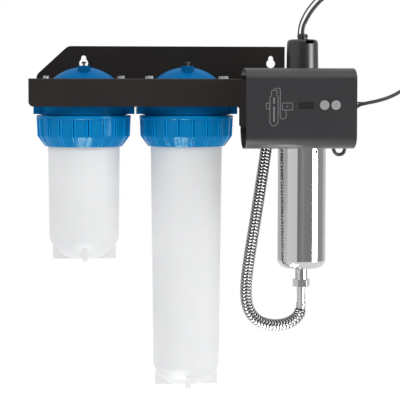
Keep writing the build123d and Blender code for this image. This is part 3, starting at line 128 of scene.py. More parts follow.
def turn(name, degrees, about):
    """An angle setting, given in degrees."""
    return FloatProperty(
        name=name, description=about, default=radians(degrees), subtype="ANGLE", unit="ROTATION"
    )


def share(name, value, about):
    """A setting between nothing and the whole."""
    return FloatProperty(
        name=name, description=about, default=value, min=0.0, max=1.0, subtype="FACTOR"
    )


def amount(name, value, about):
    """A plain positive number."""
    return FloatProperty(name=name, description=about, default=value, min=0.0)


def count(name, value, about):
    """A whole number of things."""
    return IntProperty(name=name, description=about, default=value, min=1)


def colour(name, code, about):
    """A colour setting, given as six hexadecimal digits."""
    return FloatVectorProperty(
        name=name, description=about, default=linear(code), size=3, min=0.0, max=1.0,
        subtype="COLOR",
    )


class StudioSettings(bpy.types.PropertyGroup):
    """The camera, the floor and the lights."""

    camera_place: FloatVectorProperty(
        name="Camera place",
        description="Where the camera stands",
        default=(-0.2673, -3.4735, -0.0468),
        subtype="TRANSLATION",
        unit="LENGTH",
    )
    camera_yaw: turn("Yaw", 5.2064, "How far the camera turns from straight ahead to the right")
    camera_pitch: turn("Pitch", -4.1035, "How far the camera looks up")
    camera_roll: turn("Roll", 0.0831, "How far the camera leans")
    camera_lens: amount("Lens", 144.0, "Focal length in millimetres on a 36 millimetre sensor")
    floor_height: length("Floor", -1.1, "Height of the floor")
    floor_reach: length("Floor reach", 4.0, "Half the floor's width")
    sky: amount("Sky", 1.32, "Light from above and below onto matt surfaces")
    horizon: amount("Horizon", 0.30, "Light from the sides onto matt surfaces")
    panel_light: amount("Strip light", 24.0, "Brightness of the tall strip light in reflections")


class FinishSettings(bpy.types.PropertyGroup):
    """The colours of the finishes."""

    bracket: colour("Bracket", "#2d2928", "Powder coat of the bracket")
    blue: colour("Blue", "#027fbf", "Collars")
    # Darker than the collars' blue: painted shade of the bracket's lip over the caps
    cap: colour("Cap", "#02649f", "Caps")
    bowl: colour("Bowl", "#f1f1f2", "Bowls")
    cover: colour("Cover", "#313033", "Controller cover")
    boot: colour("Boot", "#201d1e", "Boot, saddles and other black plastic")
    jacket: colour("Jacket", "#3b3b3d", "Lamp cable")
    wire: colour("Wire", "#2b2a2c", "Ground wire")
    button: colour("Button", "#9f9da0", "Buttons")
    window: colour("Window", "#242224", "Display window")
    mark: colour("Mark", "#8d8b8e", "Printed lines")
    steel: colour("Steel", "#cbcbca", "Stainless steel")
    zinc: colour("Zinc", "#dcdcde", "Plated screws and sheet")
    board: colour("Board", "#14502f", "Circuit board")


class HoseSettings(bpy.types.PropertyGroup):
    """The corrugated hose."""

    crest: length("Crest radius", 0.0128, "Radius over the ribs")
    root: length("Root radius", 0.0100, "Radius between the ribs")
    pitch: length("Pitch", 0.0068, "From one rib to the next")
    plain_end: length("Plain end", 0.0128, "Length without ribs at each end")
    rings: count("Rings", 8, "Rings of points in one rib")
    sides: count("Sides", 48, "Points round the hose")
    zigzags: count("Zigzags", 6, "Zigzags of a rib round the hose")
    skew: share("Skew", 0.45, "How far a zigzag shifts a rib, as a share of the pitch")


class CordSettings(bpy.types.PropertyGroup):
    """The lamp cable and the ground wire."""

    cable_radius: length("Cable radius", 0.00375, "Radius of the lamp cable")
    wire_radius: length("Wire radius", 0.0017, "Radius of the ground wire")


class CollarSettings(bpy.types.PropertyGroup):
    """The two ring nuts."""

    ribs: count("Ribs", 20, "Ribs round a collar")
    rib_width: length("Rib width", 0.0074, "Width of one rib over both of its ridges")
    groove: length("Groove", 0.0032, "Width of the groove between a rib's two ridges")
    rib_edge: length("Rib edge", 0.0005, "Width of a ridge's rounded flank")
    phase: turn("Phase", 4.5, "Turn of the first rib from straight ahead")
    top_radius: length("Top radius", 0.0986, "Radius of the band at the top")
    foot_radius: length("Foot radius", 0.0968, "Radius where the chamfer starts")
    bottom_radius: length("Bottom radius", 0.081, "Radius at the bottom")
    inner_radius: length("Inner radius", 0.08808, "Radius inside, over the thread")
    mouth_radius: length("Mouth radius", 0.0765, "Radius of the hole at the bottom")
    band: length("Band", 0.0075, "Height of the plain band")
    side: length("Side", 0.0435, "Height from the top to the chamfer")
    panel: length("Panel depth", 0.0030, "Depth of the panels between the ribs")
    seat: length("Seat", 0.0486, "Depth of the shoulder that the bowl's flange rests on")
    edge: length("Edge", 0.0012, "Rounding of the edges")


class CartridgeSettings(bpy.types.PropertyGroup):
    """The pleated cartridge."""

    pleats: count("Pleats", 72, "Pleats round the left cartridge")
    pleat_depth: length("Pleat depth", 0.006, "Depth of a pleat")


class EdgeSettings(bpy.types.PropertyGroup):
    """How far sharp edges are rounded."""

    sheet: length("Sheet", 0.0012, "Edges of sheet metal")
    moulding: length("Moulding", 0.0012, "Edges of thick mouldings")
    fine: length("Fine", 0.0004, "Edges of small parts")


class ThreadSettings(bpy.types.PropertyGroup):
    """Pipe threads at the inlet and the outlet."""

    pitch: length("Pitch", 0.0018, "From one turn to the next")
    depth: length("Depth", 0.0011, "Depth of the thread")


class MarkSettings(bpy.types.PropertyGroup):
    """The plain diagram printed on the cover and the marks on the buttons."""

    line: length("Line", 0.0011, "Width of a printed line")
    proud: length("Proud", 0.0001, "How far print stands from the surface")
    button_mark: length("Button mark", 0.0028, "Radius of the ring printed on a button")


SETTINGS = {
    "studio": StudioSettings,
    "finish": FinishSettings,
    "hose": HoseSettings,
    "cords": CordSettings,
    "collars": CollarSettings,
    "cartridges": CartridgeSettings,
    "edges": EdgeSettings,
    "threads": ThreadSettings,
    "marks": MarkSettings,
}


def setting(group):
    """The scene's settings of that group."""
    return getattr(bpy.context.scene, "purifier_" + group)


# Shader helpers


def plug(tree, socket, value):
    """Sets a socket to a number or a colour, or links a node's output to it."""
    if isinstance(value, bpy.types.NodeSocket):
        tree.links.new(value, socket)
    else:
        socket.default_value = value


def add(tree, kind, **values):
    """A shader node, with the inputs that are named, spaces written as underscores."""
    node = tree.nodes.new("ShaderNode" + kind)
    for name, value in values.items():
        plug(tree, node.inputs[name.replace("_", " ")], value)
    return node


def feed(material, socket, value):
    """Sets or links a socket of the material's shader."""
    tree = material.node_tree
    plug(tree, tree.nodes["Principled BSDF"].inputs[socket], value)


def ramped(tree, value, stops):
    """A colour for a value, from a ramp whose stops have a position and a tone each."""
    ramp = add(tree, "ValToRGB", Fac=value)
    marks = ramp.color_ramp.elements
    while len(marks) < len(stops):
        marks.new(0.5)
    for mark, (position, tone) in zip(marks, stops):
        mark.position = position
        mark.color = (*tone, 1)
    return ramp.outputs["Color"]


def spread(material, stretch=(1, 1, 1)):
    """Object coordinates, stretched along each axis."""
    tree = material.node_tree
    place = add(tree, "TexCoord").outputs["Object"]
    return add(tree, "Mapping", Scale=stretch, Vector=place).outputs["Vector"]


def noise(material, scale, detail=3.0, stretch=(1, 1, 1)):
    """A cloudy pattern with that many features in a metre."""
    place = spread(material, stretch)
    texture = add(material.node_tree, "TexNoise", Scale=scale, Detail=detail, Vector=place)
    return texture.outputs["Fac"]


def cells(material, scale, metric="EUCLIDEAN"):
    """A pattern of cells, that many in a metre, darkest in their middles."""
    texture = add(material.node_tree, "TexVoronoi", Scale=scale, Vector=spread(material))
    texture.distance = metric
    return texture.outputs["Distance"]


def bumped(material, pattern, strength, distance):
    """Raises the surface by the pattern."""
    tree = material.node_tree
    bump = add(tree, "Bump", Strength=strength, Distance=distance, Height=pattern)
    feed(material, "Normal", bump.outputs["Normal"])


# Most values of a noise lie between these two
NOISE_LOW, NOISE_HIGH = 0.3, 0.7


def toned(material, pattern, dark, light):
    """Colours the surface from dark to light by the pattern."""
    stops = ((NOISE_LOW, dark), (NOISE_HIGH, light))
    feed(material, "Base Color", ramped(material.node_tree, pattern, stops))


def painted_shade_by_rise(material, *tones):
    """Colours the surface by its own rise, from its grooves to its ridges: painted shade, darkest
    in the grooves and lightest on the ridges.
    """
    rise = add(material.node_tree, "Attribute")
    rise.attribute_name = "rise"
    stops = list(zip(np.linspace(0, 1, len(tones)), tones))
    feed(material, "Base Color", ramped(material.node_tree, rise.outputs["Fac"], stops))


def varied(material, pattern, low, high):
    """Roughness from low to high by the pattern."""
    span = add(
        material.node_tree, "MapRange", Value=pattern,
        From_Min=NOISE_LOW, From_Max=NOISE_HIGH, To_Min=low, To_Max=high,
    )
    feed(material, "Roughness", span.outputs["Result"])


def lighter(tone, factor):
    """A colour made lighter or darker by a factor."""
    return tuple(min(1.0, part * factor) for part in tone)


def surface(tone, roughness, **sockets):
    """A new material whose constants sit on its shader's own sockets."""
    material = bpy.data.materials.new("finish")
    material.use_nodes = True
    feed(material, "Base Color", (*tone, 1))
    feed(material, "Roughness", roughness)
    for socket, value in sockets.items():
        feed(material, socket.replace("_", " "), value)
    return material


# Moulded plastic: its clouds' features in a metre, their darkest and lightest tone, and the
# detail and strength of its grain
CLOUD_SCALE = 9.0
CLOUD_DARK, CLOUD_LIGHT = 0.98, 1.02
GRAIN_DETAIL = 2.0
GRAIN_STRENGTH = 0.35


def moulded(tone, low, high, grain, height, **sockets):
    """Moulded plastic: an even colour, faint clouds from low to high roughness, a fine grain."""
    material = surface(tone, low, **sockets)
    clouds = noise(material, CLOUD_SCALE)
    toned(material, clouds, lighter(tone, CLOUD_DARK), lighter(tone, CLOUD_LIGHT))
    varied(material, clouds, low, high)
    bumped(material, noise(material, grain, GRAIN_DETAIL), GRAIN_STRENGTH, height)
    return material


# Brushed steel: its clouds' features in a metre, and its scratches in a metre, their stretch and
# their depth
BRUSHED_CLOUDS = 14.0
SCRATCH_SCALE = 260.0
SCRATCH_STRETCH = (1, 1, 0.06)
SCRATCH_DEPTH = 0.00002


def brushed(tone, low, high, scratch, metallic=1.0):
    """Steel with fine scratches along its height and cloudy roughness."""
    material = surface(tone, low, Metallic=metallic)
    varied(material, noise(material, BRUSHED_CLOUDS), low, high)
    scratches = noise(material, SCRATCH_SCALE, stretch=SCRATCH_STRETCH)
    bumped(material, scratches, scratch, SCRATCH_DEPTH)
    return material


# Finishes of the record's slots and of single pieces


def bracket_paint(tones):
    """Black powder coat with its fine orange-peel skin."""
    return moulded(tones.bracket, 0.42, 0.52, 900.0, 0.00006, Specular_IOR_Level=0.1)


def blue_plastic(tones):
    """Glossy blue polypropylene."""
    return moulded(
        tones.blue, 0.11, 0.15, 300.0, 0.00001,
        Specular_IOR_Level=0.12, Specular_Tint=(0.6, 1, 0.9, 1),
    )


def collar_blue(tones):
    """The collars' blue with painted shade in the grooves and a painted highlight on the ridges."""
    material = blue_plastic(tones)
    painted_shade_by_rise(material, lighter(tones.blue, 0.5), tones.blue, lighter(tones.blue, 1.7))
    return material


def cap_blue_painted_shade(tones):
    """The caps' blue, darker than the collars' as painted shade of the bracket's lip."""
    return moulded(tones.cap, 0.24, 0.3, 300.0, 0.00001, Specular_IOR_Level=0.02)


def white_plastic(tones):
    """Milky white polypropylene of the bowls."""
    return moulded(
        tones.bowl, 0.4, 0.48, 160.0, 0.00002,
        Specular_IOR_Level=0.07, Subsurface_Weight=0.12, Subsurface_Scale=0.01,
    )


def black_plastic(tones):
    """Satin black plastic."""
    return moulded(tones.boot, 0.28, 0.34, 700.0, 0.00001, Specular_IOR_Level=0.7)


def rubber(tones):
    """Matt black rubber."""
    return moulded(lighter(tones.boot, 0.8), 0.6, 0.75, 500.0, 0.00004)


def filter_fabric(tones):
    """Off-white felted polyester."""
    material = surface(tones.bowl, 0.9, Sheen_Weight=0.3)
    fibres = noise(material, 500.0, 5.0, (1, 1, 0.25))
    toned(material, fibres, lighter(tones.bowl, 0.8), tones.bowl)
    bumped(material, fibres, 0.6, 0.0003)
    return material


def carbon_block(tones):
    """Pressed carbon grains."""
    material = surface(lighter(tones.boot, 0.9), 0.85)
    grains = noise(material, 700.0, 4.0)
    toned(material, grains, lighter(tones.boot, 0.5), lighter(tones.boot, 2.0))
    bumped(material, grains, 0.8, 0.0004)
    return material


def cap_plastic(tones):
    """White end caps of the cartridges."""
    return moulded(tones.bowl, 0.4, 0.5, 250.0, 0.00003)


def stainless_fittings(tones):
    """Bright turned and formed fittings."""
    return brushed(tones.steel, 0.12, 0.22, 0.12)


def ribbed_steel(tones):
    """The hose's steel with painted shade: darker between its ribs."""
    material = brushed(tones.steel, 0.25, 0.35, 0.1)
    painted_shade_by_rise(material, *(lighter(tones.steel, factor) for factor in (0.05, 0.3, 0.8)))
    return material


def polished_stainless(tones):
    """The mirror-polished chamber."""
    return brushed(tones.steel, 0.045, 0.08, 0.035)


def plated_steel(tones):
    """Zinc-plated screws."""
    return brushed(tones.zinc, 0.34, 0.5, 0.2, metallic=0.7)


def chassis_steel(tones):
    """Galvanised sheet with its faint spangle."""
    material = surface(tones.zinc, 0.4, Metallic=1.0)
    varied(material, cells(material, 140.0), 0.32, 0.55)
    return material


def quartz_glass(tones):
    """Clear quartz."""
    material = surface((1, 1, 1), 0.02, Transmission_Weight=1.0, IOR=1.46)
    varied(material, noise(material, 20.0), 0.01, 0.04)
    return material


def cable_jacket(tones):
    """The lamp cable's dull jacket."""
    return moulded(tones.jacket, 0.4, 0.5, 400.0, 0.00004)


def wire_jacket(tones):
    """The ground wire's jacket."""
    return moulded(tones.wire, 0.38, 0.48, 400.0, 0.00003)


def board_green(tones):
    """Solder mask with tracks and pads under it."""
    material = surface(tones.board, 0.3)
    tracks = cells(material, 120.0, "MANHATTAN")
    toned(material, tracks, lighter(tones.board, 0.7), lighter(tones.board, 1.6))
    bumped(material, tracks, 0.3, 0.0001)
    return material


def component_black(tones):
    """Moulded cases of parts on the board."""
    return moulded(lighter(tones.boot, 0.7), 0.45, 0.6, 500.0, 0.00004)


def window_plastic(tones):
    """The display's dark tinted window."""
    return moulded(tones.window, 0.08, 0.12, 60.0, 0.000005)


def button_plastic(tones):
    """Matt grey membrane buttons."""
    return moulded(tones.button, 0.42, 0.5, 900.0, 0.00002)


def cover_plastic(tones):
    """The cover's satin charcoal finish."""
    return moulded(
        tones.cover, 0.36, 0.44, 1200.0, 0.00003, Metallic=0.25, Specular_IOR_Level=0.5
    )


def printed_line(tones):
    """Grey print."""
    return moulded(tones.mark, 0.5, 0.6, 900.0, 0.00001)


FINISHES = {
    make.__name__: make
    for make in (
        bracket_paint, blue_plastic, collar_blue, cap_blue_painted_shade, white_plastic, black_plastic, rubber,
        filter_fabric, carbon_block, cap_plastic, stainless_fittings, ribbed_steel,
        polished_stainless, plated_steel, chassis_steel, quartz_glass, cable_jacket, wire_jacket,
        board_green, component_black, window_plastic, button_plastic, cover_plastic, printed_line,
    )
}
made_finishes = {}


def finish(name):
    """The finish of that name, made when it is first asked for."""
    if name not in made_finishes:
        made_finishes[name] = FINISHES[name](setting("finish"))
        made_finishes[name].name = name
    return made_finishes[name]


# Mesh helpers

# Points closer than this are one point, and edges shorter than the second length go, in metres
MERGE_DISTANCE = 1e-6
SHORTEST_EDGE = 1e-7
# Edges sharper than this stay crisp, in degrees
CRISP_ANGLE = 35.0
# Copies of CAD pieces: faces flatter than the first angle are joined, and edges sharper than the
# second are rounded, in degrees, with that many segments
FLAT_ANGLE = 0.4
ROUNDED_ANGLE = 40.0
ROUNDED_SEGMENTS = 2


@contextmanager
def reworked(mesh):
    """An editable copy of the mesh, which is written back at the end."""
    work = bmesh.new()
    work.from_mesh(mesh)
    yield work
    work.to_mesh(mesh)
    work.free()


def smoothed(mesh, crisp_angle=CRISP_ANGLE):
    """Smooths the mesh, but for its crisp edges."""
    mesh.polygons.foreach_set("use_smooth", np.ones(len(mesh.polygons), bool))
    mesh.set_sharp_from_angle(angle=radians(crisp_angle))


def closed_faces(rows, columns, wrap_rows):
    """Quads between neighbouring rows and columns of a grid whose columns close on themselves."""
    row = np.arange(rows if wrap_rows else rows - 1)[:, None]
    column = np.arange(columns)[None, :]
    below, beside = (row + 1) % rows, (column + 1) % columns
    corners = (row * columns + column, row * columns + beside,
               below * columns + beside, below * columns + column)
    return np.stack([np.broadcast_to(c, (len(row), columns)) for c in corners], -1).reshape(-1, 4)


def around_axis(centre, radius, angles, height):
    """Points about an upright axis: x = centre + radius cos a, y = centre + radius sin a."""
    x = centre.x + radius * np.cos(angles)
    y = centre.y + radius * np.sin(angles)
    return np.stack(np.broadcast_arrays(x, y, height), -1)


def add_piece(name, mesh, body, slot_name, finish_name=None):
    """A piece that rides on a body and takes its finish from a slot, unless another is named."""
    piece = bpy.data.objects.new(name, mesh)
    bpy.context.scene.collection.objects.link(piece)
    piece.data.materials.clear()
    piece.data.materials.append(finish(finish_name or slot_name))
    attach(piece, body)
    return piece


def body_of(node):
    """The body that a CAD node rides on."""
    return frame["nodes"][node]["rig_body"]


def grid_piece(
    name, grid, body, slot_name, finish_name=None, wrap_rows=True, crisp_angle=CRISP_ANGLE,
    rise=None,
):
    """A piece from rows of points, each row closed on itself: its doubles are merged and its faces
    point outwards. Where a rise is given, the piece keeps it for its colour, which paints shade and
    highlight by it."""
    rows, columns = grid.shape[:2]
    mesh = bpy.data.meshes.new(name)
    faces = closed_faces(rows, columns, wrap_rows)
    mesh.from_pydata(grid.reshape(-1, 3).tolist(), [], faces.tolist())
    if rise is not None:
        mesh.attributes.new("rise", "FLOAT", "POINT").data.foreach_set("value", rise.ravel())
    with reworked(mesh) as work:
        bmesh.ops.remove_doubles(work, verts=work.verts, dist=MERGE_DISTANCE)
        bmesh.ops.dissolve_degenerate(work, edges=work.edges, dist=SHORTEST_EDGE)
        bmesh.ops.recalc_face_normals(work, faces=work.faces)
    smoothed(mesh, crisp_angle)
    return add_piece(name, mesh, body, slot_name, finish_name)


def corner_arc(before, here, after, radius, steps=6):
    """An arc tangent to both sides of a corner, which starts radius over tan(half angle) away."""
    back = (before - here) / np.linalg.norm(before - here)
    ahead = (after - here) / np.linalg.norm(after - here)
    half = np.arccos(np.clip(back @ ahead, -1, 1)) / 2
    reach = radius / np.tan(half)
    middle = (back + ahead) / np.linalg.norm(back + ahead)
    centre = here + middle * radius / np.sin(half)
    start, end = here + back * reach - centre, here + ahead * reach - centre
    sweep = pi - 2 * half
    t = np.linspace(0, 1, steps + 1)[:, None]
    return centre + (np.sin((1 - t) * sweep) * start + np.sin(t * sweep) * end) / np.sin(sweep)


def rounded(corners, radii):
    """A closed outline whose corners are arcs of those radii."""
    at = np.array(corners, float)
    neighbours = zip(np.roll(at, 1, axis=0), at, np.roll(at, -1, axis=0), radii)
    return np.concatenate([corner_arc(*place) for place in neighbours])


def merged_copy(node, width, finish_name=None):
    """A copy of a CAD piece with its doubles merged, flat faces joined and sharp edges rounded."""
    source = frame["nodes"][node].data
    points = np.empty(3 * len(source.vertices))
    source.vertices.foreach_get("co", points)
    corners = np.empty(len(source.loops), int)
    source.loops.foreach_get("vertex_index", corners)
    mesh = bpy.data.meshes.new(node + "_finished")
    mesh.from_pydata(points.reshape(-1, 3).tolist(), [], corners.reshape(-1, 3).tolist())
    with reworked(mesh) as work:
        bmesh.ops.remove_doubles(work, verts=work.verts, dist=MERGE_DISTANCE)
        bmesh.ops.dissolve_limit(
            work, angle_limit=radians(FLAT_ANGLE), verts=work.verts, edges=work.edges,
            delimit={"NORMAL"},
        )
    smoothed(mesh)
    slot_name = source.materials[0].name
    piece = add_piece(mesh.name, mesh, body_of(node), slot_name, finish_name)
    bevel = piece.modifiers.new("edges", "BEVEL")
    bevel.width = width
    bevel.segments = ROUNDED_SEGMENTS
    bevel.limit_method = "ANGLE"
    bevel.angle_limit = radians(ROUNDED_ANGLE)
    bevel.harden_normals = True
    bevel.use_clamp_overlap = True
    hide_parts(node)


# Stage

# The camera's sensor in millimetres, and how far it sees in metres
SENSOR_WIDTH = 36.0
FARTHEST_SEEN = 60.0
# Azimuth in degrees from the camera's side towards the right, and brightness in reflections
STUDIO_BANDS = (
    (-180, 0.70), (-112, 0.60), (-104, 0.95), (-26, 0.86), (-21, 0.22), (4, 0.38), (12, 0.30),
    (47, 0.28), (52, 0.8), (77, 0.8), (81, 0.38), (118, 0.44), (126, 0.76), (180, 0.70),
)
# Azimuths in degrees between which the tall strip light rises at its left and falls at its right
STRIP_LEFT = (51, 54)
STRIP_RIGHT = (75, 78)
# Directions' heights, as sines: where the strip dims to that share, where the ceiling starts to
# show in mirrors, and where the glow on matt surfaces changes from the horizon's to the sky's
STRIP_DIMS = (-0.03, 0.03)
STRIP_DIMMED = 0.2
CEILING = (0.45, 0.8)
GLOW_CHANGES = (0.25, 0.6)
# Where the floor fades, as shares of its reach, and how much of its glow is there in the middle
FLOOR_FADES = (0.3, 0.9)
FLOOR_GLOW = 0.6
FLOOR_COLOUR = (0.9, 0.9, 0.9, 1)


def camera_axes(studio):
    """The camera's right, up and backward directions from its yaw, pitch and roll."""
    yaw, pitch, roll = studio.camera_yaw, studio.camera_pitch, studio.camera_roll
    ahead = Vector((sin(yaw) * cos(pitch), cos(yaw) * cos(pitch), sin(pitch)))
    right = Vector((cos(yaw), -sin(yaw), 0))
    up = right.cross(ahead)
    leaned_right = right * cos(roll) + up * sin(roll)
    leaned_up = up * cos(roll) - right * sin(roll)
    return leaned_right, leaned_up, -ahead


def add_camera(studio):
    """The camera at the photograph's place and angle."""
    camera = bpy.data.objects.new("camera", bpy.data.cameras.new("camera"))
    bpy.context.scene.collection.objects.link(camera)
    camera.data.lens = studio.camera_lens
    camera.data.sensor_width = SENSOR_WIDTH
    camera.data.clip_end = FARTHEST_SEEN
    turned_axes = Matrix(camera_axes(studio)).transposed().to_4x4()
    camera.matrix_world = Matrix.Translation(studio.camera_place) @ turned_axes
    bpy.context.scene.camera = camera


def combined(tree, operation, *values):
    """Values added, multiplied or compared."""
    node = add(tree, "Math")
    node.operation = operation
    for socket, value in zip(node.inputs, values):
        plug(tree, socket, value)
    return node.outputs[0]


def stepped(tree, value, span, start=0.0, end=1.0):
    """A smooth step from start to end while the value crosses the span."""
    low, high = span
    step = add(
        tree, "MapRange", Value=value, From_Min=low, From_Max=high, To_Min=start, To_Max=end
    )
    step.interpolation_type = "SMOOTHSTEP"
    return step.outputs["Result"]


def seen_directly(tree):
    """One where a ray comes from the camera or through glass, and one where it is mirrored."""
    rays = add(tree, "LightPath").outputs
    direct = combined(tree, "MAXIMUM", rays["Is Camera Ray"], rays["Is Transmission Ray"])
    return direct, rays["Is Glossy Ray"]


def direction(tree, studio):
    """A ray's azimuth from the camera's side towards the right, and the sine of its height."""
    way = add(tree, "TexCoord").outputs["Generated"]
    facing = add(tree, "Mapping", Rotation=(0, 0, studio.camera_yaw), Vector=way)
    parts = add(tree, "SeparateXYZ", Vector=facing.outputs["Vector"]).outputs
    toward = combined(tree, "MULTIPLY", parts["Y"], -1.0)
    return combined(tree, "ARCTAN2", parts["X"], toward), parts["Z"]


def reflected_studio(tree, studio):
    """Brightness that mirrors show: panels round the studio, a tall strip light and a ceiling."""
    azimuth, height = direction(tree, studio)
    turn_share = combined(tree, "MULTIPLY_ADD", azimuth, 1 / (2 * pi), 0.5)
    stops = [(degrees / 360 + 0.5, (level, level, level)) for degrees, level in STUDIO_BANDS]
    bands = ramped(tree, turn_share, stops)
    rising = stepped(tree, azimuth, np.radians(STRIP_LEFT))
    falling = stepped(tree, azimuth, np.radians(STRIP_RIGHT), 1.0, 0.0)
    dimmed = STRIP_DIMMED * studio.panel_light
    strip_level = stepped(tree, height, STRIP_DIMS, studio.panel_light, dimmed)
    strip = combined(tree, "MULTIPLY", combined(tree, "MULTIPLY", rising, falling), strip_level)
    lit = combined(tree, "ADD", bands, strip)
    return combined(tree, "MAXIMUM", lit, stepped(tree, height, CEILING)), height


def add_world(studio):
    """The surroundings: white to the camera, panels in mirrors, an even glow on matt surfaces."""
    world = bpy.data.worlds.new("studio")
    world.use_nodes = True
    bpy.context.scene.world = world
    tree = world.node_tree
    tree.nodes.clear()
    reflected, height = reflected_studio(tree, studio)
    direct, mirrored = seen_directly(tree)
    above = combined(tree, "ABSOLUTE", height)
    glow = stepped(tree, above, GLOW_CHANGES, studio.horizon, studio.sky)
    level = add(tree, "Mix", Factor=mirrored, A=glow, B=reflected).outputs["Result"]
    shown = add(tree, "Mix", Factor=direct, A=level, B=1.0).outputs["Result"]
    background = add(tree, "Background", Color=(1, 1, 1, 1), Strength=shown)
    add(tree, "OutputWorld", Surface=background.outputs["Background"])


def floor_finish(studio):
    """Plain white: it glows for the camera and mirrors, keeps shadows and fades at its rim."""
    material = bpy.data.materials.new("floor_white")
    material.use_nodes = True
    tree = material.node_tree
    tree.nodes.clear()
    glowing = combined(tree, "MAXIMUM", *seen_directly(tree))
    reach = add(tree, "VectorMath")
    reach.operation = "LENGTH"
    plug(tree, reach.inputs[0], add(tree, "TexCoord").outputs["Object"])
    fades = [share_of_reach * studio.floor_reach for share_of_reach in FLOOR_FADES]
    rim = stepped(tree, reach.outputs["Value"], fades, FLOOR_GLOW)
    glow = add(tree, "Emission", Strength=1.0)
    matt = add(tree, "BsdfDiffuse", Color=FLOOR_COLOUR)
    mixed = add(tree, "MixShader", Fac=combined(tree, "MULTIPLY", rim, glowing))
    plug(tree, mixed.inputs[1], matt.outputs["BSDF"])
    plug(tree, mixed.inputs[2], glow.outputs["Emission"])
    add(tree, "OutputMaterial", Surface=mixed.outputs["Shader"])
    return material


def add_floor(studio):
    """A pale floor under the purifier."""
    reach, height = studio.floor_reach, studio.floor_height
    corners = [(-reach, -reach, 0), (reach, -reach, 0), (reach, reach, 0), (-reach, reach, 0)]
    mesh = bpy.data.meshes.new("floor")
    mesh.from_pydata(corners, [], [(0, 1, 2, 3)])
    mesh.materials.append(floor_finish(studio))
    floor = bpy.data.objects.new("floor", mesh)
    floor.location.z = height
    bpy.context.scene.collection.objects.link(floor)


# Softboxes: name, place, what it points at, width, height, watts, whether mirrors show it
SOFTBOXES = (
    ("top", (0.1, -1.15, 1.9), (0.0, -0.15, -0.25), 2.4, 1.4, 5.4, False),
    ("key", (1.8, -1.6, 1.1), (0.0, -0.1, -0.25), 1.4, 1.6, 9.5, False),
    ("rim", (0.6, 2.0, 0.8), (0.0, -0.1, -0.25), 1.8, 1.2, 5.0, False),
    ("table", (-0.18, -0.35, -1.05), (-0.18, -0.2, 0.0), 0.42, 0.5, 23.0, True),
)


def add_softboxes():
    """Large soft lights round the purifier and one that shines up from the table."""
    for name, place, target, width, height, watts, mirrored in SOFTBOXES:
        light = bpy.data.lights.new(name, "AREA")
        light.shape = "RECTANGLE"
        light.size, light.size_y, light.energy = width, height, watts
        lamp = bpy.data.objects.new(name, light)
        lamp.location = place
        lamp.rotation_euler = (Vector(target) - Vector(place)).to_track_quat("-Z", "Y").to_euler()
        lamp.visible_camera = False
        lamp.visible_glossy = mirrored
        lamp.visible_diffuse = not mirrored
        bpy.context.scene.collection.objects.link(lamp)


class PURIFIER_OT_stage(bpy.types.Operator):
    """Sets up the camera, the studio, the floor and the lights"""

    bl_idname = "purifier.stage"
    bl_label = "Stage"

    def execute(self, context):
        studio = setting("studio")
        context.scene.view_settings.view_transform = "Standard"
        add_camera(studio)
        add_world(studio)
        add_floor(studio)
        add_softboxes()
        return {"FINISHED"}


# Cords

# Straight steps between two points of a smooth line, and how finely a cord's section is rounded
ROUTE_STEPS = 16
CORD_ROUNDING = 5


def nurbs_route(name, points):
    """A smooth line with the route's points as its control points."""
    curve = bpy.data.curves.new(name, "CURVE")
    curve.dimensions = "3D"
    spline = curve.splines.new("NURBS")
    spline.points.add(len(points) - 1)
    weighted = np.column_stack((np.array(points), np.ones(len(points))))
    spline.points.foreach_set("co", weighted.ravel())
    spline.order_u = 3
    spline.use_endpoint_u = True
    spline.resolution_u = ROUTE_STEPS
    route = bpy.data.objects.new(name, curve)
    bpy.context.scene.collection.objects.link(route)
    return route


def round_cord(node, points, radius, slot_name):
    """A round cord for a CAD node: a disc of that radius carried along its smooth route."""
    cord = nurbs_route(node + "_line", points)
    cord.data.bevel_depth = radius
    cord.data.bevel_resolution = CORD_ROUNDING
    cord.data.use_fill_caps = True
    cord.data.materials.append(finish(slot_name))
    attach(cord, "frame")
    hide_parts(node)


class PURIFIER_OT_cables(bpy.types.Operator):
    """Makes the lamp cable and the ground wire"""

    bl_idname = "purifier.cables"
    bl_label = "Cables"

    def execute(self, context):
        cords = setting("cords")
        round_cord("lamp_cable", CABLE_ROUTE, cords.cable_radius, "cable_jacket")
        round_cord("ground_wire", WIRE_ROUTE, cords.wire_radius, "wire_jacket")
        return {"FINISHED"}


def line_points(route):
    """The points of a route's smooth line, read from a mesh of it."""
    mesh = bpy.data.meshes.new_from_object(route)
    points = np.empty(3 * len(mesh.vertices))
    mesh.vertices.foreach_get("co", points)
    bpy.data.meshes.remove(mesh)
    return points.reshape(-1, 3)


def run_lengths(points):
    """How far along the line each point lies."""
    steps = np.linalg.norm(np.diff(points, axis=0), axis=1)
    return np.concatenate(([0.0], np.cumsum(steps)))


def read_along(distances, run, values):
    """Values given at a line's points, read at distances along it."""
    return np.stack([np.interp(distances, run, column) for column in values.T], -1)


def tube_along(line, distances, radii, sides):
    """Circles square to the line: centre + radius (cos a across + sin a upright), across is Y."""
    run = run_lengths(line)
    centres = read_along(distances, run, line)
    ahead = read_along(distances, run, np.gradient(line, run, axis=0))
    ahead /= np.linalg.norm(ahead, axis=1, keepdims=True)
    across = np.array([0.0, 1.0, 0.0])
    upright = np.cross(ahead, across)
    angle = np.linspace(0, 2 * pi, sides, endpoint=False)[None, :, None]
    ring = np.cos(angle) * across + np.sin(angle) * upright[:, None, :]
    return centres[:, None, :] + radii[:, :, None] * ring


# The power that a rib's wave is raised to: below one, the rib is fuller than its groove
RIB_POWER = 0.7


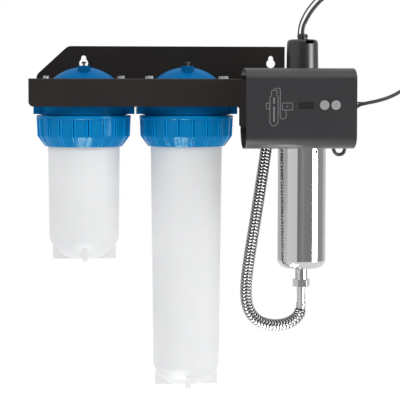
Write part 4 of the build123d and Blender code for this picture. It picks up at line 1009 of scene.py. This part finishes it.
def bellows(distances, total, hose):
    """Rise of the hose's ribs: half a cosine wave of the length plus a zigzag round the hose, to
    that power, fading at both plain ends."""
    ribbed = total - 2 * hose.plain_end
    ribs = round(ribbed / hose.pitch)
    along = (distances - hose.plain_end)[:, None]
    around = np.arange(hose.sides)[None, :] / hose.sides
    zigzag = np.abs((2 * hose.zigzags * around) % 2 - 1)
    turns = along / ribbed * ribs + hose.skew * zigzag
    wave = (0.5 - 0.5 * np.cos(2 * pi * turns)) ** RIB_POWER
    return wave * np.clip(np.minimum(along, ribbed - along) / hose.pitch, 0, 1)


# The hose's zigzags stay smooth up to this angle, in degrees
HOSE_CRISP_ANGLE = 80.0


class PURIFIER_OT_hose(bpy.types.Operator):
    """Makes the corrugated hose along its route"""

    bl_idname = "purifier.hose"
    bl_label = "Hose"

    def execute(self, context):
        hose = setting("hose")
        route = nurbs_route("hose_route", HOSE_ROUTE)
        line = line_points(route)
        bpy.data.objects.remove(route)
        total = run_lengths(line)[-1]
        rows = hose.rings * round(total / hose.pitch)
        distances = np.linspace(0, total, rows + 1)
        rise = np.pad(bellows(distances, total, hose), ((1, 1), (0, 0)))
        distances = np.concatenate(([0.0], distances, [total]))
        radii = hose.root + (hose.crest - hose.root) * rise
        radii[[0, -1]] = 0.0
        plain = np.abs(distances - total / 2)[:, None] > total / 2 - hose.plain_end
        # The rise colours the hose: painted shade between its ribs, lightest on the crests and the
        # plain ends
        piece = grid_piece(
            "hose_bellows", tube_along(line, distances, radii, hose.sides), "frame",
            "stainless_fittings", "ribbed_steel", wrap_rows=False, crisp_angle=HOSE_CRISP_ANGLE,
            rise=np.where(plain, 1.0, rise),
        )
        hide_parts("corrugated_hose")
        return {"FINISHED"}


# Collars

# Points across a rib, and points from one rib to the next
RIB_POINTS = 33
PANEL_POINTS = 9
# The outline's corners, as shares of an edge's rounding outwards and upwards
TOP_CORNER = ((-1, 0), (-0.3, -0.3), (0, -1))
BAND_CORNER = ((0, 1), (-0.1, 0.5), (-0.2, 0), (-0.25, -0.5), (-0.3, -1))
FOOT_CORNER = ((0.1, 1.5), (-0.1, 0.3), (-1, -1))
# The step from the band into a panel: shares of the panel's depth inwards and of an edge upwards
PANEL_STEP = ((0, 1), (0.25, 0.4), (0.75, 0.1), (1, -0.5), (1.04, -1))
# Where the ribs and the panels run into the chamfer's foot, as shares of the way down it
RIB_FOOT = (0.80, 0.88)
PANEL_FOOT = (0.80, 0.90)
# How deep a rib's groove is at the least and at the most, as shares of the panel's depth
GROOVE_DEPTHS = (0.3, 1.1)


def rib_angles(collars):
    """Angles round a collar, close together across a rib."""
    half = collars.rib_width / (2 * collars.top_radius)
    edge = collars.rib_edge / collars.top_radius
    step = 2 * pi / collars.ribs
    across = np.linspace(-half - edge, half + edge, RIB_POINTS)
    panel = np.linspace(half + edge, step - half - edge, PANEL_POINTS)[1:-1]
    local = np.concatenate((across, panel))
    start = collars.phase - pi / 2 + np.arange(collars.ribs) * step
    return (start[:, None] + local[None, :]).ravel(), np.tile(local, collars.ribs)


def smooth(t):
    """Zero below 0, one above 1 and 3 t^2 - 2 t^3 between."""
    t = np.clip(t, 0, 1)
    return t * t * (3 - 2 * t)


def rib_rise(local, collars, groove_depth):
    """How much of a rib stands at each angle: a step up outside, less the groove in its middle."""
    arc = np.abs(local) * collars.top_radius
    step_up = smooth((collars.rib_width / 2 + collars.rib_edge - arc) / (2 * collars.rib_edge))
    groove = smooth((collars.groove / 2 + collars.rib_edge - arc) / (2 * collars.rib_edge))
    return step_up - groove_depth * groove


def near(radius, height, unit, shares):
    """Points near a corner: the corner plus shares of the unit outwards and upwards."""
    return [(radius + outwards * unit, height + upwards * unit) for outwards, upwards in shares]


def down_chamfer(foot, end, shares):
    """Points on the chamfer: foot + share (end - foot)."""
    foot, end = np.array(foot), np.array(end)
    return [tuple(foot + share_down * (end - foot)) for share_down in shares]


def collar_outlines(collars, top, bottom):
    """The collar's closed outline across a rib and across a panel, point for point."""
    band, side = top - collars.band, top - collars.side
    edge, panel = collars.edge, collars.panel
    foot = collars.foot_radius - panel
    end = (collars.bottom_radius, bottom)
    start = [(collars.inner_radius, top), *near(collars.top_radius, top, edge, TOP_CORNER)]
    high = [
        *near(collars.top_radius, band, edge, BAND_CORNER),
        *near(collars.foot_radius, side, edge, FOOT_CORNER),
        *down_chamfer((collars.foot_radius, side), end, RIB_FOOT),
    ]
    low = [
        *((collars.top_radius - inwards * panel, band + up * edge) for inwards, up in PANEL_STEP),
        *near(foot, side, edge, FOOT_CORNER),
        *down_chamfer((foot, side), end, PANEL_FOOT),
    ]
    inside = [
        end,
        (collars.mouth_radius, bottom),
        (collars.mouth_radius, top - collars.seat),
        (collars.inner_radius, top - collars.seat),
    ]
    return np.array(start + high + inside), np.array(start + low + inside)


def collar_grid(collars, centre, top, bottom):
    """Points of the collar, each low + (high - low) times the rib's rise at its angle, and a
    painted shade from 0 in the grooves over 0.5 on the panels to 1 on the ridges, which darkens the
    grooves and lightens the ridges in the colour."""
    angles, local = rib_angles(collars)
    high, low = collar_outlines(collars, top, bottom)
    depth = np.clip((high[:, 1] - top + collars.side) / collars.panel, *GROOVE_DEPTHS)[:, None]
    rise = rib_rise(local[None, :], collars, depth)
    radius = low[:, :1] + (high - low)[:, :1] * rise
    height = low[:, 1:] + (high - low)[:, 1:] * rise
    below = np.clip((top - collars.band - high[:, 1]) / collars.edge, 0, 1)[:, None]
    # Painted shade and highlight: 0 paints a groove dark, 1 paints a ridge light, even at the band
    painted_shade = 0.5 + 0.5 * below * rib_rise(local[None, :], collars, 2.0)
    return around_axis(centre, radius, angles, height), painted_shade


class PURIFIER_OT_collars(bpy.types.Operator):
    """Makes both ribbed collars"""

    bl_idname = "purifier.collars"
    bl_label = "Collars"

    def execute(self, context):
        collars = setting("collars")
        for side, centre in (("left", left_axis), ("right", right_axis)):
            # The second value is the painted shade and highlight, kept as the piece's rise
            grid, rise = collar_grid(collars, centre, collar_top, collar_bottom)
            node = side + "_collar"
            piece = grid_piece(
                node + "_ribbed", grid, body_of(node), "blue_plastic", "collar_blue", rise=rise
            )
            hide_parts(node)
        return {"FINISHED"}


# Cartridges

# Points across a pleat, and the bore as a share of the outer radius
PLEAT_POINTS = 8
BORE_SHARE = 0.32


def pleated_grid(cartridges, low, high):
    """A pleated tube: radius = outer - depth times a folded wave of the angle, round a bore."""
    centre = (low + high) / 2
    outer = (high.x - low.x) / 2
    around = np.linspace(0, 2 * pi, PLEAT_POINTS * cartridges.pleats, endpoint=False)
    fold = smooth(np.abs((cartridges.pleats * around / pi) % 2 - 1))
    wavy = outer - cartridges.pleat_depth * fold
    bore = np.full_like(wavy, BORE_SHARE * outer)
    radius = np.stack([bore, wavy, wavy, wavy, bore])
    height = np.array([high.z, high.z, centre.z, low.z, low.z])[:, None]
    return around_axis(centre, radius, around, height)


class PURIFIER_OT_cartridges(bpy.types.Operator):
    """Makes the pleated cartridge in the left bowl"""

    bl_idname = "purifier.cartridges"
    bl_label = "Cartridges"

    def execute(self, context):
        node = "left_filter_media"
        grid = pleated_grid(setting("cartridges"), *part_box(node))
        piece = grid_piece("left_filter_pleats", grid, body_of(node), "filter_fabric")
        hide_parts(node)
        return {"FINISHED"}


# Threads

# Rows of points in one turn of a thread, and points round it
THREAD_ROWS = 8
THREAD_SIDES = 48
# A thread's section: how steep its flanks are, and how far its root is cut off
FLANK_SLOPE = 1.25
ROOT_CUT = 0.1
# The outlet's thread in metres: radius over its crest, bore inside it and length
OUTLET_CREST = 0.01325
OUTLET_BORE = 0.0096
OUTLET_THREAD = 0.030
# The inlet's thread in metres: its axis's height, radius at its crest, radius of its root's wall,
# and how far from the cap's face it starts and ends
INLET_HEIGHT = -0.0785
INLET_CREST = 0.0150
INLET_WALL = 0.01605
INLET_START = 0.020
INLET_END = 0.0003


def thread_wave(along, around, threads):
    """A helix's height: a rounded triangle wave of length over pitch minus angle over a turn."""
    phase = (along / threads.pitch - around / (2 * pi)) % 1
    rise = 1 - np.abs(2 * phase - 1)
    return np.clip(FLANK_SLOPE * rise - ROOT_CUT, 0, 1)


def threaded_grid(threads, axis_point, start, end, crest, wall):
    """A threaded pipe end along X: crest - depth (1 - wave), or crest + depth (1 - wave) where the
    wall lies outside the crest."""
    reach = abs(end - start)
    along = np.linspace(0, reach, round(THREAD_ROWS * reach / threads.pitch))[:, None]
    around = np.linspace(0, 2 * pi, THREAD_SIDES, endpoint=False)[None, :]
    fade = np.clip(np.minimum(along, reach - along) / threads.pitch, 0, 1)
    wave = thread_wave(along, around, threads) * fade
    radius = crest + np.sign(wall - crest) * threads.depth * (1 - wave)
    plain = np.full_like(radius[:1], wall)
    radius = np.concatenate((plain, radius, plain))
    x = start + np.sign(end - start) * np.concatenate((along[:1], along, along[-1:])) + 0 * radius
    y = axis_point.y + radius * np.cos(around)
    z = axis_point.z + radius * np.sin(around)
    return np.stack([x, y, z], -1)


class PURIFIER_OT_threads(bpy.types.Operator):
    """Cuts the pipe threads of the inlet and the outlet"""

    bl_idname = "purifier.threads"
    bl_label = "Threads"

    def execute(self, context):
        threads = setting("threads")
        low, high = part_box("chamber_outlet_port")
        axis = (low + high) / 2
        start = high.x - OUTLET_THREAD
        grid = threaded_grid(threads, axis, start, high.x, OUTLET_CREST, OUTLET_BORE)
        grid_piece("outlet_thread", grid, "frame", "polished_stainless")
        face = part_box("left_cap")[0].x
        port = Vector((face, axis.y, INLET_HEIGHT))
        grid = threaded_grid(
            threads, port, face + INLET_START, face + INLET_END, INLET_CREST, INLET_WALL
        )
        grid_piece("inlet_thread", grid, "frame", "blue_plastic", "cap_blue_painted_shade")
        return {"FINISHED"}


# Marks on the cover

# The diagram in the cover's face, in millimetres: a lamp chamber, its lamp, a lead and a small
# control box. A box is left, right, low, high and its corners' radius; the dot is x, z and radius.
CHAMBER_MARK = (
    (165.0, -56.5), (175.5, -56.5), (175.5, -67.0), (178.2, -71.0), (178.2, -121.0),
    (173.5, -127.5), (166.5, -127.5), (161.8, -121.0), (161.8, -71.0), (165.0, -67.0),
)
CHAMBER_MARK_ROUNDS = (2.5, 2.5, 1.5, 2.0, 3.0, 2.5, 2.5, 3.0, 2.0, 1.5)
BOX_MARKS = {
    "control_mark": (186.5, 207.5, -96.0, -82.0, 2.0),
    "stub_mark": (154.3, 161.2, -94.0, -82.0, 1.5),
}
LAMP_MARKS = {
    "lamp_mark_upper": (168.7, 171.3, -84.0, -70.5, 1.2),
    "lamp_mark_lower": (168.7, 171.3, -120.0, -89.0, 1.2),
}
LEAD_MARK = (
    (170.2, -56.5), (170.2, -52.5), (182.5, -52.5), (182.5, -113.5), (194.5, -113.5),
    (194.5, -96.0),
)
LEAD_MARK_ROUND = 3.8
CONTROL_DOT = (197.0, -89.0, 1.4)
# The dark rim round a button: how far it lies outside, in metres, and its width in printed lines
RIM_GAP = 0.0009
RIM_LINES = 1.5
# Print on a button stands less proud than on the cover, by this share
BUTTON_PROUD = 0.1


def beside_line(ahead, width):
    """Offsets to one side of a line: its direction turned by a right angle, half its width long."""
    ahead = ahead / np.linalg.norm(ahead, axis=1, keepdims=True)
    return np.stack([-ahead[:, 1], ahead[:, 0]], -1) * width / 2


def ribbon_grid(outline, width, face_y, proud):
    """A printed line: a flat band of that width along a closed outline of X and Z points."""
    beside = beside_line(np.roll(outline, -1, axis=0) - np.roll(outline, 1, axis=0), width)
    edges = np.stack([outline - beside, outline + beside, outline + beside, outline - beside], 1)
    depth = np.array([face_y - proud, face_y - proud, face_y + proud, face_y + proud])
    return np.stack([edges[..., 0], np.broadcast_to(depth, edges.shape[:2]), edges[..., 1]], -1)


def box_outline(left, right, low, high, radius):
    """A rectangle with round corners."""
    return rounded([(left, low), (right, low), (right, high), (left, high)], [radius] * 4)


def circle_outline(x, z, radius, sides=48):
    """A circle: x + radius cos a and z + radius sin a."""
    around = np.linspace(0, 2 * pi, sides, endpoint=False)
    return np.stack([x + radius * np.cos(around), z + radius * np.sin(around)], -1)


def stroke_outline(points, radius, width):
    """The outline of an open printed line whose corners are arcs of that radius."""
    at = np.array(points, float)
    arcs = [corner_arc(*place, radius) for place in zip(at, at[1:], at[2:])]
    line = np.concatenate((at[:1], *arcs, at[-1:]))
    beside = beside_line(np.gradient(line, axis=0), width)
    return np.concatenate((line + beside, (line - beside)[::-1]))


def print_shape(name, outline, proud):
    """A flat shape printed on the cover: the outline's face in front and its rim behind."""
    around = len(outline)
    front = np.column_stack((outline[:, 0], np.full(around, cover_front - proud), outline[:, 1]))
    back = front + np.array([0, 2 * proud, 0])
    mesh = bpy.data.meshes.new(name)
    ring = np.arange(around)
    sides = np.stack([ring, (ring + 1) % around, (ring + 1) % around + around, ring + around], -1)
    faces = [ring.tolist(), (ring[::-1] + around).tolist()] + sides.tolist()
    mesh.from_pydata(np.concatenate((front, back)).tolist(), [], faces)
    with reworked(mesh) as work:
        bmesh.ops.recalc_face_normals(work, faces=work.faces)
    add_piece(name, mesh, "frame", "cover_plastic", "printed_line")


def print_line(name, outline, marks, finish_name="printed_line", lines=1.0):
    """A closed line printed on the cover, as wide as that many printed lines."""
    grid = ribbon_grid(outline, lines * marks.line, cover_front, marks.proud)
    grid_piece(name, grid, "frame", "cover_plastic", finish_name)


def print_button(node, marks):
    """The dark rim round a button, and the ring printed on it."""
    low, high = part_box(node)
    middle = (low + high) / 2
    rim = circle_outline(middle.x, middle.z, (high.x - low.x) / 2 + RIM_GAP)
    print_line(node + "_rim", rim, marks, "rubber", RIM_LINES)
    ring = circle_outline(middle.x, middle.z, marks.button_mark)
    grid = ribbon_grid(ring, marks.line, low.y, BUTTON_PROUD * marks.proud)
    grid_piece(node + "_ring", grid, body_of(node), "button_plastic", "printed_line")


class PURIFIER_OT_marks(bpy.types.Operator):
    """Prints a plain diagram on the cover and a mark on each button"""

    bl_idname = "purifier.marks"
    bl_label = "Marks"

    def execute(self, context):
        marks = setting("marks")
        print_line("chamber_mark", rounded(CHAMBER_MARK, CHAMBER_MARK_ROUNDS) * MM, marks)
        for name, box in BOX_MARKS.items():
            print_line(name, box_outline(*box) * MM, marks)
        for node in ("left_button", "right_button"):
            print_button(node, marks)
        for name, box in LAMP_MARKS.items():
            print_shape(name, box_outline(*box) * MM, marks.proud)
        lead = stroke_outline(np.array(LEAD_MARK) * MM, LEAD_MARK_ROUND * MM, marks.line)
        print_shape("lead_mark", lead, marks.proud)
        print_shape("control_dot", circle_outline(*CONTROL_DOT, sides=24) * MM, marks.proud)
        return {"FINISHED"}


# Rounded copies of CAD pieces

SHEET_PIECES = ("mounting_bracket", "controller_chassis", "chamber_bands")
MOULDED_PIECES = ("left_cap", "right_cap", "left_bowl", "right_bowl", "chamber_saddles")
FINE_PIECES = (
    "controller_cover", "lamp_boot", "strain_relief", "lamp_cable_gland", "hose_top_nut",
    "hose_bottom_nut", "cap_bolts", "cap_washers", "outlet_elbow", "power_inlet", "left_button",
    "right_button", "display_window", "board_parts", "mount_screws",
)
OTHER_FINISHES = {"left_cap": "cap_blue_painted_shade", "right_cap": "cap_blue_painted_shade"}


class PURIFIER_OT_edges(bpy.types.Operator):
    """Rounds the sharp edges of sheet metal, mouldings and small parts"""

    bl_idname = "purifier.edges"
    bl_label = "Edges"

    def execute(self, context):
        edges = setting("edges")
        widths = {
            SHEET_PIECES: edges.sheet, MOULDED_PIECES: edges.moulding, FINE_PIECES: edges.fine
        }
        for nodes, width in widths.items():
            for node in nodes:
                merged_copy(node, width, OTHER_FINISHES.get(node))
        return {"FINISHED"}


class PURIFIER_OT_finishes(bpy.types.Operator):
    """Gives every CAD piece its finish"""

    bl_idname = "purifier.finishes"
    bl_label = "Finishes"

    def execute(self, context):
        for node in frame["nodes"].values():
            for slot in node.material_slots:
                slot.material = finish(slot.material.name.split(".")[0])
        return {"FINISHED"}


class PURIFIER_PT_panel(bpy.types.Panel):
    """Lists the purifier's pieces and their settings"""

    bl_idname = "PURIFIER_PT_panel"
    bl_label = "Water Purifier"
    bl_space_type = "VIEW_3D"
    bl_region_type = "UI"
    bl_category = "Purifier"

    def draw(self, context):
        for operator in OPERATORS:
            self.layout.operator(operator.bl_idname)
        for group, kind in SETTINGS.items():
            self.layout.label(text=kind.__doc__)
            for name in kind.__annotations__:
                self.layout.prop(setting(group), name)


OPERATORS = (
    PURIFIER_OT_stage,
    PURIFIER_OT_cables,
    PURIFIER_OT_hose,
    PURIFIER_OT_edges,
    PURIFIER_OT_collars,
    PURIFIER_OT_cartridges,
    PURIFIER_OT_threads,
    PURIFIER_OT_marks,
    PURIFIER_OT_finishes,
)


def register():
    """Registers the settings, the operators and the panel."""
    for group, kind in SETTINGS.items():
        bpy.utils.register_class(kind)
        setattr(bpy.types.Scene, "purifier_" + group, PointerProperty(type=kind))
    for kind in (*OPERATORS, PURIFIER_PT_panel):
        bpy.utils.register_class(kind)


def unregister():
    """Takes everything out again."""
    for kind in (PURIFIER_PT_panel, *reversed(OPERATORS)):
        bpy.utils.unregister_class(kind)
    for group, kind in reversed(SETTINGS.items()):
        delattr(bpy.types.Scene, "purifier_" + group)
        bpy.utils.unregister_class(kind)


def main():
    """Builds everything in order."""
    register()
    for operator in OPERATORS:
        group, name = operator.bl_idname.split(".")
        getattr(getattr(bpy.ops, group), name)()


if __name__ == "__main__":
    main()
